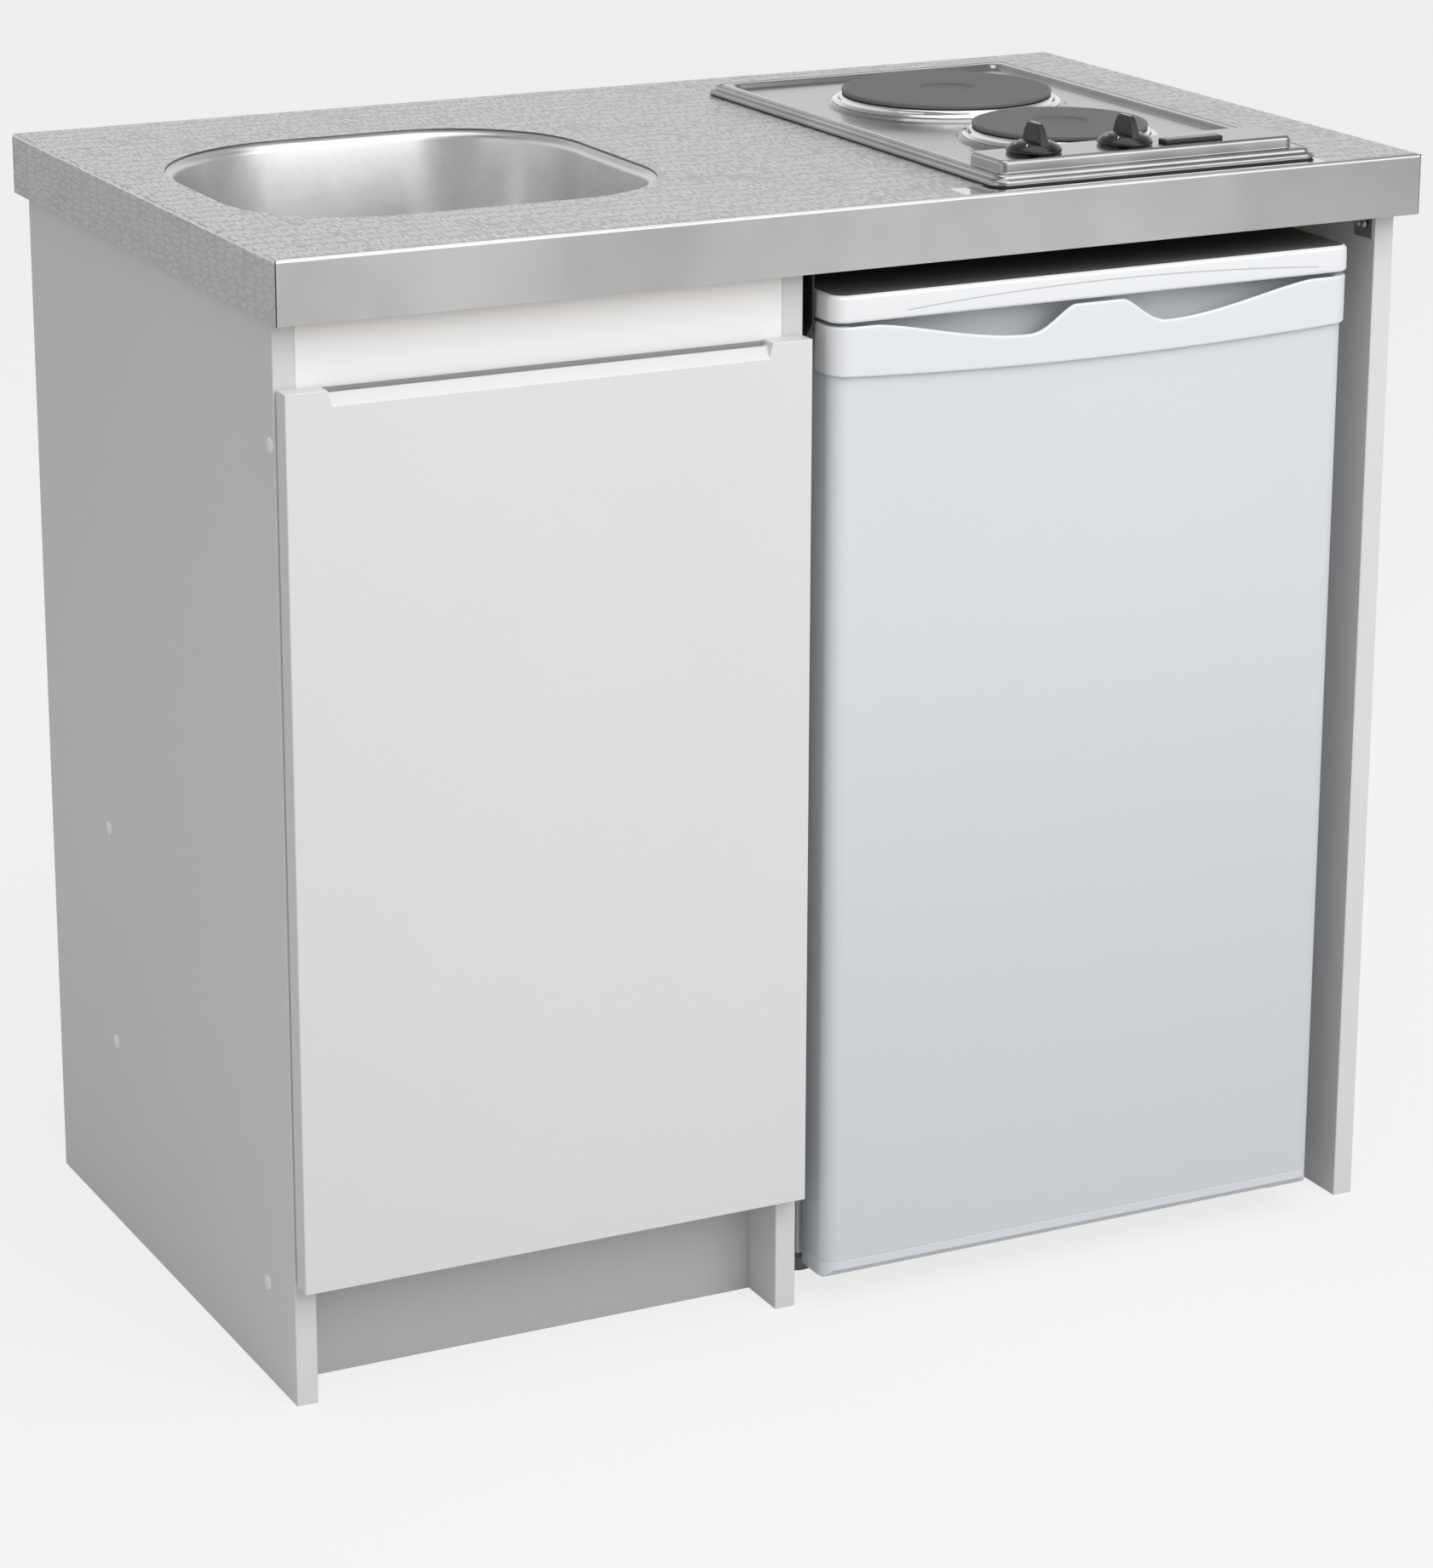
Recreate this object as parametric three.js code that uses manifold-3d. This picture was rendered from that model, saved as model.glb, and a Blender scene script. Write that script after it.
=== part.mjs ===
// A one-metre kitchenette unit: a stainless worktop with a pressed basin and a two-plate electric hob,
// carried by white board panels, with a sink cupboard on the left and an under-counter fridge on the right.
// Millimetres, +Z up, the front faces -Y, and the origin is on the floor under the middle of the unit.
import * as THREE from 'three';
import { mergeVertices } from 'three/addons/utils/BufferGeometryUtils.js';
import Module from 'manifold-3d';

const wasm = await Module();
wasm.setup();

// ---------------------------------------------------------------- driving dimensions
// Whole unit; its width follows from what stands side by side under the worktop
const unitDepth = 600;
const unitHeight = 920;
const fitGap = 0.3; // left between two pieces that are shaped to each other

// Worktop
const worktopThickness = 50;
const sheet = 1;
const worktopEdgeRadius = 2;
const underPocketDepth = 11;
const battenWidth = 34;

// Boards of the carcass
const board = 18;
const backBoard = 16;
const panelInset = 6; // worktop overhang past the outer panels
const panelSetback = 26; // worktop front to the panels' front edges
const rearSetback = 20; // worktop rear to the panels' rear edges
const sinkCabinetWidth = 440;
const frontRailHeight = 120;
const rearRailHeight = 80;
const plinthHeight = 102;
const plinthRecess = 48;
const backPanelHeight = 282;
const serviceVoid = 158; // from the panels' rear edges forward to the back panel

// Cupboard door
const doorReveal = 1.5;
const doorGap = 2; // between the carcass and the back of the door
const doorTopClearance = 52; // worktop underside down to the door's top edge
const gripEndTab = 34;
const gripDrop = 3.5; // ridge of the grip below the full-height end tabs
const gripBevel = 8.5;
const gripRidge = 1.5;
const gripGrooveDepth = 22;
const gripTabSlope = 5;

// Concealed hinges
const hingeFromDoorEnd = 96;
const hingeCupRadius = 17.5;
const hingeCupDepth = 12;
const hingeCupInset = 22.5; // door edge to cup centre
const hingeFlangeLength = 62;
const hingeFlangeWidth = 16;
const hingeFlangeThickness = 1.2;
const hingeArmHeight = 14;
const hingeArmReach = 70;

// Basin
const basinWidth = 363;
const basinLength = 348;
const basinFromLeft = 45;
const basinFromFront = 122;
const basinDepth = 150;
const basinFrontCorner = 107;
const basinRearLeftCorner = 141;
const basinRearRightCorner = 116;
const basinRimFlat = 3;
const basinRimRoll = 6;
const basinDraft = 8;
const basinFloorFillet = 34;
const basinFloorFall = 4;
const basinFlange = 8;

// Waste
const wasteRadius = 43;
const wasteFlangeRadius = 56;
const wasteSeatMargin = 2;
const wasteBowlClearance = 1;
const wasteBowlDepth = 34;
const wasteTubeRadius = 20;
const wasteTubeLength = 34;
const wasteWall = 1.5;
const basketRadius = 38;
const basketDepth = 18;
const basketHoles = 6;
const wasteSides = 20;
const wasteNutHeight = 10;
const wasteNutWall = 8;
const trapRadius = 31;
const trapHeight = 96;
const trapOutletRadius = 20;
const trapOutletWall = 2.5;
const trapElbowDrop = 60;
const trapOutletLength = 30;
const pipeFromBackPanel = 58;
const pipeBendRadius = 34;

// Hob
const hobWidth = 302;
const hobDepth = 510;
const hobFromRight = 88;
const hobFromFront = 15;
const hobCorner = 13;
const hobSealThickness = 1.5;
const hobSealWidth = 7;
const hobLipHeight = 4;
const hobStepInset = 4;
const hobStepHeight = 3.5;
const hobTrayMargin = 17;
const hobTrayDepth = 4;
const hobSheet = 1.2;
const controlBoxWidth = 272;
const controlBoxDepth = 54;
const controlBoxHeight = 10;
const controlBoxFromFront = 11;
const controlBoxFromLeft = 11;
const controlBoxCorner = 7;
const hobHousingDepth = 40;
const hobCutoutMargin = 13;

// Cast plates, their trims and the pressed seats
const largePlateRadius = 90;
const smallPlateRadius = 72.5;
const smallPlateFromFront = 158;
const plateSpacing = 190;
const plateThickness = 5;
const plateSkirtInset = 5;
const plateHoleInset = 3;
const plateHubRadius = 25;
const plateHubDepth = 1.6;
const trimWidth = 8;
const trimHeight = 7;
const seatWidth = 10;
const seatHeight = 2.5;

// Knobs
const knobRadius = 22.5;
const knobHeight = 9;
const knobGripHeight = 23;
const knobGripWidth = 8;
const knobStemRadius = 4;
const knobClearance = 0.8;
const knobHoleRadius = 5;
const leftKnobFromBoxLeft = 45;
const knobSpacing = 84;
const switchSize = 38;
const switchHeight = 24;

// Refrigerator
const fridgeWidth = 474;
const fridgeHeight = 850;
const fridgeBodyDepth = 445;
const fridgeFromMiddlePanel = 16;
const fridgeFromRightPanel = 40; // room for the door's edge to turn in
const fridgeFrontCorner = 14;
const fridgeWall = 40;
const fridgeBackWall = 50;
const fridgeFootHeight = 32;
const capThickness = 22;
const capOverhang = 2;
const capEdgeRadius = 5;
const capDoorGap = 3;
const fridgeDoorThickness = 40;
const fridgeDoorBottom = 28;
const gasketDepth = 10;
const gasketWidth = 16;
const gasketInset = 8;
const sillHeight = 14;
const bandProud = 4;
const bandSideProud = 2;
const bandEndHeight = 39;
const bandSag = 7;
const bandWrap = 34;
const handlePocketDepth = 24;
const handlePocketCorner = 18;
const handleDip = 20.5;
const handleTabHalf = 25;
const hingeAxisInset = 12;
const hingeAxisFromFront = 20;
const hingePinRadius = 3;
const hingePinLength = 12;
const hingePlateThickness = 2.4;
const hingePlateWidth = 38;

// Inside the refrigerator
const iceBoxHeight = 104;
const iceBoxDepth = 250;
const iceBoxSheet = 2;
const iceBoxSideGap = 14;
const flapThickness = 8;
const flapGap = 3; // lets the flap's head turn in front of the ice box
const flapPinRadius = 3;
const shelfThickness = 5;
const shelfDepth = 272;
const upperShelfDrop = 178; // ice box underside down to the upper shelf
const compressorStepHeight = 198;
const compressorStepDepth = 130;
const rackDepth = 88;
const rackHeight = 62;
const rackWall = 3;
const ribThickness = 9;
const ribDepth = 26;
const lowerRackFromBottom = 66;
const upperRackFromBottom = 372;
const thermostatLength = 96;
const thermostatHeight = 44;
const thermostatWidth = 30;
const thermostatKnobRadius = 13;
const thermostatKnobHeight = 9;

// Back of the refrigerator
const compressorRadius = 58;
const compressorHeight = 148;
const trayThickness = 3;
const trayInset = 4;
const trayTongue = 20; // reach of the tray under the body
const skidWidth = 30;
const skidLength = 40;
const skidInset = 10;
const skidFromRear = 20;
const condenserWidth = 390;
const condenserHeight = 470;
const condenserTube = 5;
const condenserWire = 2;
const condenserStandoff = 10;
const condenserFromStep = 30;
const standoffWidth = 10;
const standoffInset = 8;
const condenserRuns = 8;
const condenserWires = 5;
const footRadius = 17;

// Worktop brackets in the fridge bay
const bracketWidth = 11;
const bracketDepth = 26;
const bracketHeight = 62;
const bracketSheet = 1.5;
const bracketChamfer = 13;
const smallBracketHeight = 24;

// ---------------------------------------------------------------- places worked out from them
const fridgeBay = fridgeFromMiddlePanel + fridgeWidth + fridgeFromRightPanel;
const unitWidth = panelInset + sinkCabinetWidth + fridgeBay + board + panelInset;
const frontY = -unitDepth / 2;
const rearY = unitDepth / 2;
const leftX = -unitWidth / 2;
const rightX = unitWidth / 2;
const undersideZ = unitHeight - worktopThickness;
const carcassFrontY = frontY + panelSetback;
const carcassRearY = rearY - rearSetback;
const cabinetLeftX = leftX + panelInset;
const cabinetRightX = cabinetLeftX + sinkCabinetWidth;
const cabinetInnerLeftX = cabinetLeftX + board;
const cabinetInnerRightX = cabinetRightX - board;
const rightPanelOuterX = rightX - panelInset;
const rightPanelInnerX = rightPanelOuterX - board;

const material = {
  satinSteel: new THREE.MeshStandardMaterial({ color: 0xb4b5b6, roughness: 0.34, metalness: 1 }),
  brightSteel: new THREE.MeshStandardMaterial({ color: 0xd2d3d4, roughness: 0.1, metalness: 1 }),
  castIron: new THREE.MeshStandardMaterial({ color: 0x3a3b3c, roughness: 0.65, metalness: 0.4 }),
  blackPlastic: new THREE.MeshStandardMaterial({ color: 0x121213, roughness: 0.22, metalness: 0 }),
  whiteBoard: new THREE.MeshStandardMaterial({ color: 0xe2e2e1, roughness: 0.5, metalness: 0 }),
  whiteDoor: new THREE.MeshStandardMaterial({ color: 0xe6e6e5, roughness: 0.4, metalness: 0 }),
  rawBoard: new THREE.MeshStandardMaterial({ color: 0xb99b6e, roughness: 0.9, metalness: 0 }),
  fridgeWhite: new THREE.MeshStandardMaterial({ color: 0xe4e7ea, roughness: 0.35, metalness: 0 }),
  linerWhite: new THREE.MeshStandardMaterial({ color: 0xf0f2f3, roughness: 0.3, metalness: 0 }),
  zincSteel: new THREE.MeshStandardMaterial({ color: 0x9a9c9e, roughness: 0.4, metalness: 1 }),
  blackSteel: new THREE.MeshStandardMaterial({ color: 0x1b1c1d, roughness: 0.5, metalness: 0.6 }),
  greyRubber: new THREE.MeshStandardMaterial({ color: 0x8d9093, roughness: 0.8, metalness: 0 }),
  whitePipe: new THREE.MeshStandardMaterial({ color: 0xeeeeec, roughness: 0.45, metalness: 0 }),
  aluminium: new THREE.MeshStandardMaterial({ color: 0xc9cdd0, roughness: 0.4, metalness: 1 }),
  glass: new THREE.MeshStandardMaterial({ color: 0xd8e6e4, roughness: 0.05, metalness: 0 }),
};

// ---------------------------------------------------------------- solids and joins
function toSolid(geometry) {
  const bare = geometry.clone();
  bare.deleteAttribute('normal');
  bare.deleteAttribute('uv');
  const merged = mergeVertices(bare, 1e-4);
  return new wasm.Manifold(new wasm.Mesh({
    numProp: 3,
    vertProperties: new Float32Array(merged.attributes.position.array),
    triVerts: new Uint32Array(merged.index.array),
  }));
}

function toGeometry(solid) {
  const mesh = solid.getMesh();
  const geometry = new THREE.BufferGeometry();
  geometry.setAttribute('position', new THREE.BufferAttribute(new Float32Array(mesh.vertProperties), 3));
  geometry.setIndex(new THREE.BufferAttribute(new Uint32Array(mesh.triVerts), 1));
  return geometry;
}

function join(...solids) {
  return solids.reduce((whole, piece) => whole.add(piece));
}

function cut(solid, ...tools) {
  return tools.reduce((rest, tool) => rest.subtract(tool), solid);
}

/** A block between two corners, given as [low, high] on each axis. */
function block([x0, x1], [y0, y1], [z0, z1]) {
  const geometry = new THREE.BoxGeometry(x1 - x0, y1 - y0, z1 - z0);
  geometry.translate((x0 + x1) / 2, (y0 + y1) / 2, (z0 + z1) / 2);
  return toSolid(geometry);
}

/** An upright round bar; a second radius makes it taper towards its top. */
function disc(x, y, [z0, z1], radius, sides = 24, topRadius = radius) {
  const geometry = new THREE.CylinderGeometry(topRadius, radius, z1 - z0, sides);
  geometry.rotateX(Math.PI / 2);
  geometry.translate(x, y, (z0 + z1) / 2);
  return toSolid(geometry);
}

/** A round bar that lies along X. */
function rodX([x0, x1], y, z, radius, sides = 12) {
  const geometry = new THREE.CylinderGeometry(radius, radius, x1 - x0, sides);
  geometry.rotateZ(Math.PI / 2);
  geometry.translate((x0 + x1) / 2, y, z);
  return toSolid(geometry);
}

/** A turned piece from a profile of [radius, height] pairs, standing at x, y. */
function turned(profile, x, y, z, segments = 24) {
  const points = profile.map(([radius, height]) => new THREE.Vector2(radius, height));
  const geometry = new THREE.LatheGeometry(points, segments);
  geometry.rotateX(Math.PI / 2);
  geometry.translate(x, y, z);
  return toSolid(outward(geometry));
}

/** Turns a closed geometry's faces outwards where its profile ran the other way round. */
function outward(geometry) {
  const flat = geometry.index ? geometry : mergeVertices(geometry);
  const position = flat.attributes.position;
  const index = flat.index.array;
  const [a, b, c] = [new THREE.Vector3(), new THREE.Vector3(), new THREE.Vector3()];
  let volume = 0;
  for (let i = 0; i < index.length; i += 3) {
    a.fromBufferAttribute(position, index[i]);
    b.fromBufferAttribute(position, index[i + 1]);
    c.fromBufferAttribute(position, index[i + 2]);
    volume += a.dot(b.cross(c));
  }
  if (volume < 0) {
    for (let i = 0; i < index.length; i += 3) {
      [index[i], index[i + 1]] = [index[i + 1], index[i]];
    }
  }
  return flat;
}

/** An outline of [u, v] points drawn out along an axis: u, v are Y, Z for 'x', X, Z for 'y', X, Y for 'z'. */
function drawn(outline, axis, [from, to]) {
  const shape = new THREE.Shape(outline.map(([u, v]) => new THREE.Vector2(u, v)));
  const geometry = new THREE.ExtrudeGeometry(shape, { depth: to - from, bevelEnabled: false });
  const turn = {
    x: new THREE.Matrix4().set(0, 0, 1, from, 1, 0, 0, 0, 0, 1, 0, 0, 0, 0, 0, 1),
    y: new THREE.Matrix4().set(1, 0, 0, 0, 0, 0, -1, to, 0, 1, 0, 0, 0, 0, 0, 1),
    z: new THREE.Matrix4().makeTranslation(0, 0, from),
  };
  geometry.applyMatrix4(turn[axis]);
  return toSolid(geometry);
}

/** A rectangle in plan with a radius for each corner: front right, rear right, rear left, front left. */
function plan([x0, x1], [y0, y1], [frontRight, rearRight, rearLeft, frontLeft]) {
  const shape = new THREE.Shape();
  shape.moveTo(x0 + frontLeft, y0);
  const corners = [
    [x1 - frontRight, y0 + frontRight, frontRight, -Math.PI / 2],
    [x1 - rearRight, y1 - rearRight, rearRight, 0],
    [x0 + rearLeft, y1 - rearLeft, rearLeft, Math.PI / 2],
    [x0 + frontLeft, y0 + frontLeft, frontLeft, Math.PI],
  ];
  for (const [x, y, radius, start] of corners) {
    if (radius > 0) {
      shape.absarc(x, y, radius, start, start + Math.PI / 2, false);
    } else {
      shape.lineTo(x, y);
    }
  }
  return shape;
}

function upright(shape, [z0, z1], curveSegments = 4) {
  const geometry = new THREE.ExtrudeGeometry(shape, { depth: z1 - z0, bevelEnabled: false, curveSegments });
  geometry.translate(0, 0, z0);
  return toSolid(geometry);
}

/** A slab with one corner radius in plan whose top edge is rounded over; its underside stays square. */
function softSlab([x0, x1], [y0, y1], [z0, z1], corner, edge, curveSegments = 3) {
  const r = corner - edge;
  const shape = plan([x0 + edge, x1 - edge], [y0 + edge, y1 - edge], [r, r, r, r]);
  const geometry = new THREE.ExtrudeGeometry(shape, {
    depth: z1 - z0,
    bevelEnabled: true,
    bevelThickness: edge,
    bevelSize: edge,
    bevelSegments: 2,
    curveSegments,
  });
  geometry.translate(0, 0, z0 - edge);
  const margin = 1;
  const below = block([x0 - margin, x1 + margin], [y0 - margin, y1 + margin], [z0 - 3 * edge, z0]);
  return cut(toSolid(geometry), below);
}

/** A closed shell from a loop of rings that all have the same number of points. */
function ringLoop(rings) {
  const count = rings[0].length;
  const positions = rings.flat().flatMap((p) => [p.x, p.y, p.z]);
  const index = [];
  for (let r = 0; r < rings.length; r += 1) {
    const next = (r + 1) % rings.length;
    for (let i = 0; i < count; i += 1) {
      const j = (i + 1) % count;
      index.push(r * count + i, next * count + i, r * count + j);
      index.push(r * count + j, next * count + i, next * count + j);
    }
  }
  const geometry = new THREE.BufferGeometry();
  geometry.setAttribute('position', new THREE.BufferAttribute(new Float32Array(positions), 3));
  geometry.setIndex(index);
  return toSolid(outward(geometry));
}

const unit = new THREE.Group();

function place(name, solid, finish, parent = unit) {
  const mesh = new THREE.Mesh(toGeometry(solid), finish);
  mesh.name = name;
  parent.add(mesh);
  return mesh;
}

// ---------------------------------------------------------------- worktop
const basinX = [leftX + basinFromLeft, leftX + basinFromLeft + basinWidth];
const basinY = [frontY + basinFromFront, frontY + basinFromFront + basinLength];
const basinCorners = [basinFrontCorner, basinRearRightCorner, basinRearLeftCorner, basinFrontCorner];
const hobX = [rightX - hobFromRight - hobWidth, rightX - hobFromRight];
const hobY = [frontY + hobFromFront, frontY + hobFromFront + hobDepth];
const wasteX = (basinX[0] + basinX[1]) / 2;
const wasteY = (basinY[0] + basinY[1]) / 2;

function grown([low, high], margin) {
  return [low - margin, high + margin];
}

function hobCutout(margin, z) {
  return block(grown(hobX, margin - hobCutoutMargin), grown(hobY, margin - hobCutoutMargin), z);
}

const cornerSteps = 5;
const sideSteps = 4;

/** The basin's outline as a ring of points at one height, with the same points on every ring. */
function basinRing(offset, z) {
  const [x0, x1] = grown(basinX, offset);
  const [y0, y1] = grown(basinY, offset);
  const [frontRight, rearRight, rearLeft, frontLeft] = basinCorners.map((radius) => radius + offset);
  const corners = [
    [x1 - frontRight, y0 + frontRight, frontRight, -Math.PI / 2],
    [x1 - rearRight, y1 - rearRight, rearRight, 0],
    [x0 + rearLeft, y1 - rearLeft, rearLeft, Math.PI / 2],
    [x0 + frontLeft, y0 + frontLeft, frontLeft, Math.PI],
  ];
  const arcs = corners.map(([x, y, radius, start]) => Array.from({ length: cornerSteps + 1 }, (_, i) => {
    const angle = start + (Math.PI / 2) * (i / cornerSteps);
    return new THREE.Vector3(x + radius * Math.cos(angle), y + radius * Math.sin(angle), z);
  }));
  return arcs.flatMap((arc, i) => {
    const next = arcs[(i + 1) % arcs.length][0];
    const side = Array.from(
      { length: sideSteps - 1 },
      (_, k) => arc.at(-1).clone().lerp(next, (k + 1) / sideSteps),
    );
    return [...arc, ...side];
  });
}

/** The same outline as a flat shape. */
function basinPlan(offset) {
  return new THREE.Shape(basinRing(offset, 0).map(({ x, y }) => new THREE.Vector2(x, y)));
}

function buildWorktop() {
  const skinTop = [undersideZ, unitHeight];
  const shell = cut(
    softSlab([leftX, rightX], [frontY, rearY], skinTop, worktopEdgeRadius + 0.5, worktopEdgeRadius, 1),
    block(
      grown([leftX, rightX], -sheet), grown([frontY, rearY], -sheet), [undersideZ - 1, unitHeight - sheet],
    ),
    upright(basinPlan(0), [undersideZ, unitHeight + 1]),
    hobCutout(0, [undersideZ, unitHeight + 1]),
  );
  place('worktop_skin', shell, material.satinSteel);

  // The board under the sheet, with battens left standing where the panels carry it.
  const coreX = grown([leftX, rightX], -sheet - fitGap);
  const coreY = grown([frontY, rearY], -sheet - fitGap);
  const pocketZ = [undersideZ - 1, undersideZ + underPocketDepth];
  const pocketY = [carcassFrontY + battenWidth, carcassRearY - battenWidth];
  const core = cut(
    block(coreX, coreY, [undersideZ, unitHeight - sheet]),
    upright(basinPlan(basinFlange + 2), [undersideZ - 1, unitHeight]),
    hobCutout(fitGap, [undersideZ - 1, unitHeight]),
    block([cabinetInnerLeftX + 4, cabinetInnerRightX - 4], pocketY, pocketZ),
    block([cabinetRightX + battenWidth, rightPanelInnerX - battenWidth], pocketY, pocketZ),
  );
  place('worktop_core', core, material.rawBoard);
}

// ---------------------------------------------------------------- basin and waste
/** A circle round the waste whose points lie in line with those of the basin's rings. */
function wasteRing(radius, z) {
  return basinRing(0, z).map((point) => {
    const angle = Math.atan2(point.y - wasteY, point.x - wasteX);
    return new THREE.Vector3(wasteX + radius * Math.cos(angle), wasteY + radius * Math.sin(angle), z);
  });
}

const basinFloorZ = unitHeight - basinDepth;
const wasteSeatZ = basinFloorZ - basinFloorFall;

function buildBasin() {
  const rimInset = basinRimFlat + basinRimRoll;
  const wallInset = rimInset + basinDraft;
  const wallFootZ = basinFloorZ + basinFloorFillet;
  const inside = [basinRing(-fitGap, unitHeight), basinRing(-basinRimFlat, unitHeight)];
  for (const step of [0.35, 0.7, 1]) {
    const angle = (Math.PI / 2) * step;
    inside.push(basinRing(
      -basinRimFlat - basinRimRoll * Math.sin(angle),
      unitHeight - basinRimRoll * (1 - Math.cos(angle)),
    ));
  }
  const filletSteps = [0, 0.33, 0.67, 1];
  for (const step of filletSteps) {
    const angle = (Math.PI / 2) * step;
    inside.push(basinRing(
      -wallInset - basinFloorFillet * (1 - Math.cos(angle)),
      wallFootZ - basinFloorFillet * Math.sin(angle),
    ));
  }
  const seatRadius = wasteFlangeRadius + wasteSeatMargin;
  inside.push(wasteRing(seatRadius, wasteSeatZ), wasteRing(wasteRadius, wasteSeatZ));
  const outside = [wasteRing(wasteRadius, wasteSeatZ - sheet), wasteRing(seatRadius, wasteSeatZ - sheet)];
  for (const step of filletSteps.toReversed()) {
    const angle = (Math.PI / 2) * step;
    outside.push(basinRing(
      -wallInset - basinFloorFillet + (basinFloorFillet + sheet) * Math.cos(angle),
      wallFootZ - (basinFloorFillet + sheet) * Math.sin(angle),
    ));
  }
  outside.push(
    basinRing(-rimInset + sheet, unitHeight - basinRimRoll),
    basinRing(-basinRimFlat - basinRimRoll * 0.4, unitHeight - 2 * sheet),
    basinRing(basinFlange, unitHeight - 2 * sheet),
    basinRing(basinFlange, unitHeight - sheet),
    basinRing(-fitGap, unitHeight - sheet),
  );
  place('sink_basin', ringLoop([...inside, ...outside]), material.satinSteel);
}

function buildWaste() {
  const bowlBottom = -wasteBowlDepth;
  const tubeBottom = bowlBottom - wasteTubeLength;
  const bowlRadius = wasteRadius - wasteBowlClearance;
  place('strainer_flange', turned([
    [bowlRadius - wasteWall, 0], [bowlRadius, 1.4],
    [wasteFlangeRadius - 2, 1.4], [wasteFlangeRadius, fitGap],
    [bowlRadius, fitGap], [bowlRadius, bowlBottom - wasteWall], [wasteTubeRadius, bowlBottom - wasteWall],
    [wasteTubeRadius, tubeBottom], [wasteTubeRadius - wasteWall, tubeBottom],
    [wasteTubeRadius - wasteWall, bowlBottom], [bowlRadius - wasteWall, bowlBottom],
    [bowlRadius - wasteWall, 0],
  ], wasteX, wasteY, wasteSeatZ, wasteSides), material.brightSteel);

  const basketWall = 1.2;
  const lip = basketRadius + 1.5;
  let basket = turned([
    [0, -basketDepth], [basketRadius - 5, -basketDepth], [basketRadius, -basketDepth + 7], [lip, -1],
    [lip - basketWall, -1], [basketRadius - basketWall, -basketDepth + 7],
    [basketRadius - 6, -basketDepth + basketWall], [5, -basketDepth + basketWall], [4, -6], [9, -2.5],
    [9, 0.5], [0, 2],
  ], wasteX, wasteY, wasteSeatZ, wasteSides);
  for (let i = 0; i < basketHoles; i += 1) {
    const angle = (i / basketHoles) * 2 * Math.PI;
    const reach = basketRadius * 0.58;
    basket = cut(basket, disc(wasteX + reach * Math.cos(angle), wasteY + reach * Math.sin(angle),
      [wasteSeatZ - basketDepth - 1, wasteSeatZ - basketDepth + 3], 3, 6));
  }
  const rest = bowlRadius - wasteWall - fitGap;
  place('strainer_basket', join(basket, turned([
    [lip - basketWall, -2], [rest, -2], [rest, -0.8], [lip - basketWall, -0.8], [lip - basketWall, -2],
  ], wasteX, wasteY, wasteSeatZ, wasteSides)), material.brightSteel);

  const nutTop = -sheet - fitGap;
  const nutRadius = wasteRadius + wasteNutWall;
  place('waste_nut', turned([
    [bowlRadius + fitGap, nutTop], [nutRadius, nutTop], [nutRadius, nutTop - wasteNutHeight],
    [bowlRadius + fitGap, nutTop - wasteNutHeight], [bowlRadius + fitGap, nutTop],
  ], wasteX, wasteY, wasteSeatZ, wasteSides), material.whitePipe);

  const collarTop = wasteSeatZ + bowlBottom - wasteWall - fitGap;
  const collarBottom = collarTop - 24;
  const bottleBottom = collarBottom - trapHeight;
  const bore = wasteTubeRadius + fitGap;
  const outletZ = collarBottom - trapOutletRadius - 10;
  const bottle = turned([
    [bore, collarTop], [bore + 7, collarTop], [bore + 7, collarTop - 14], [bore + 3, collarTop - 17],
    [bore + 3, collarBottom + 2], [trapRadius, collarBottom - 6], [trapRadius, bottleBottom + 26],
    [trapRadius + 3, bottleBottom + 24], [trapRadius + 3, bottleBottom + 4], [trapRadius - 6, bottleBottom],
    [0, bottleBottom], [0, bottleBottom + 4], [trapRadius - 3, bottleBottom + 6],
    [trapRadius - 3, collarBottom - 9], [bore, collarBottom - 2], [bore, collarTop],
  ], wasteX, wasteY, 0, wasteSides);
  const outletPort = new THREE.CylinderGeometry(trapOutletRadius + 5, trapOutletRadius + 5, 22, 20);
  outletPort.translate(wasteX, wasteY + trapRadius + 6, outletZ);
  const boreRadius = trapOutletRadius + fitGap;
  const outletBore = new THREE.CylinderGeometry(boreRadius, boreRadius, trapOutletLength, wasteSides);
  outletBore.translate(wasteX, wasteY + trapRadius + 9, outletZ);
  const bottleCavity = turned([
    [0, bottleBottom + 7], [trapRadius - 3, bottleBottom + 7], [trapRadius - 3, collarBottom - 9.5],
    [0, collarBottom - 9.5],
  ], wasteX, wasteY, 0, wasteSides);
  const body = cut(join(bottle, toSolid(outletPort)), toSolid(outletBore), bottleCavity);
  place('trap_body', body, material.whitePipe);

  place('trap_outlet', outletPipe(outletZ), material.whitePipe);
}

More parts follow.
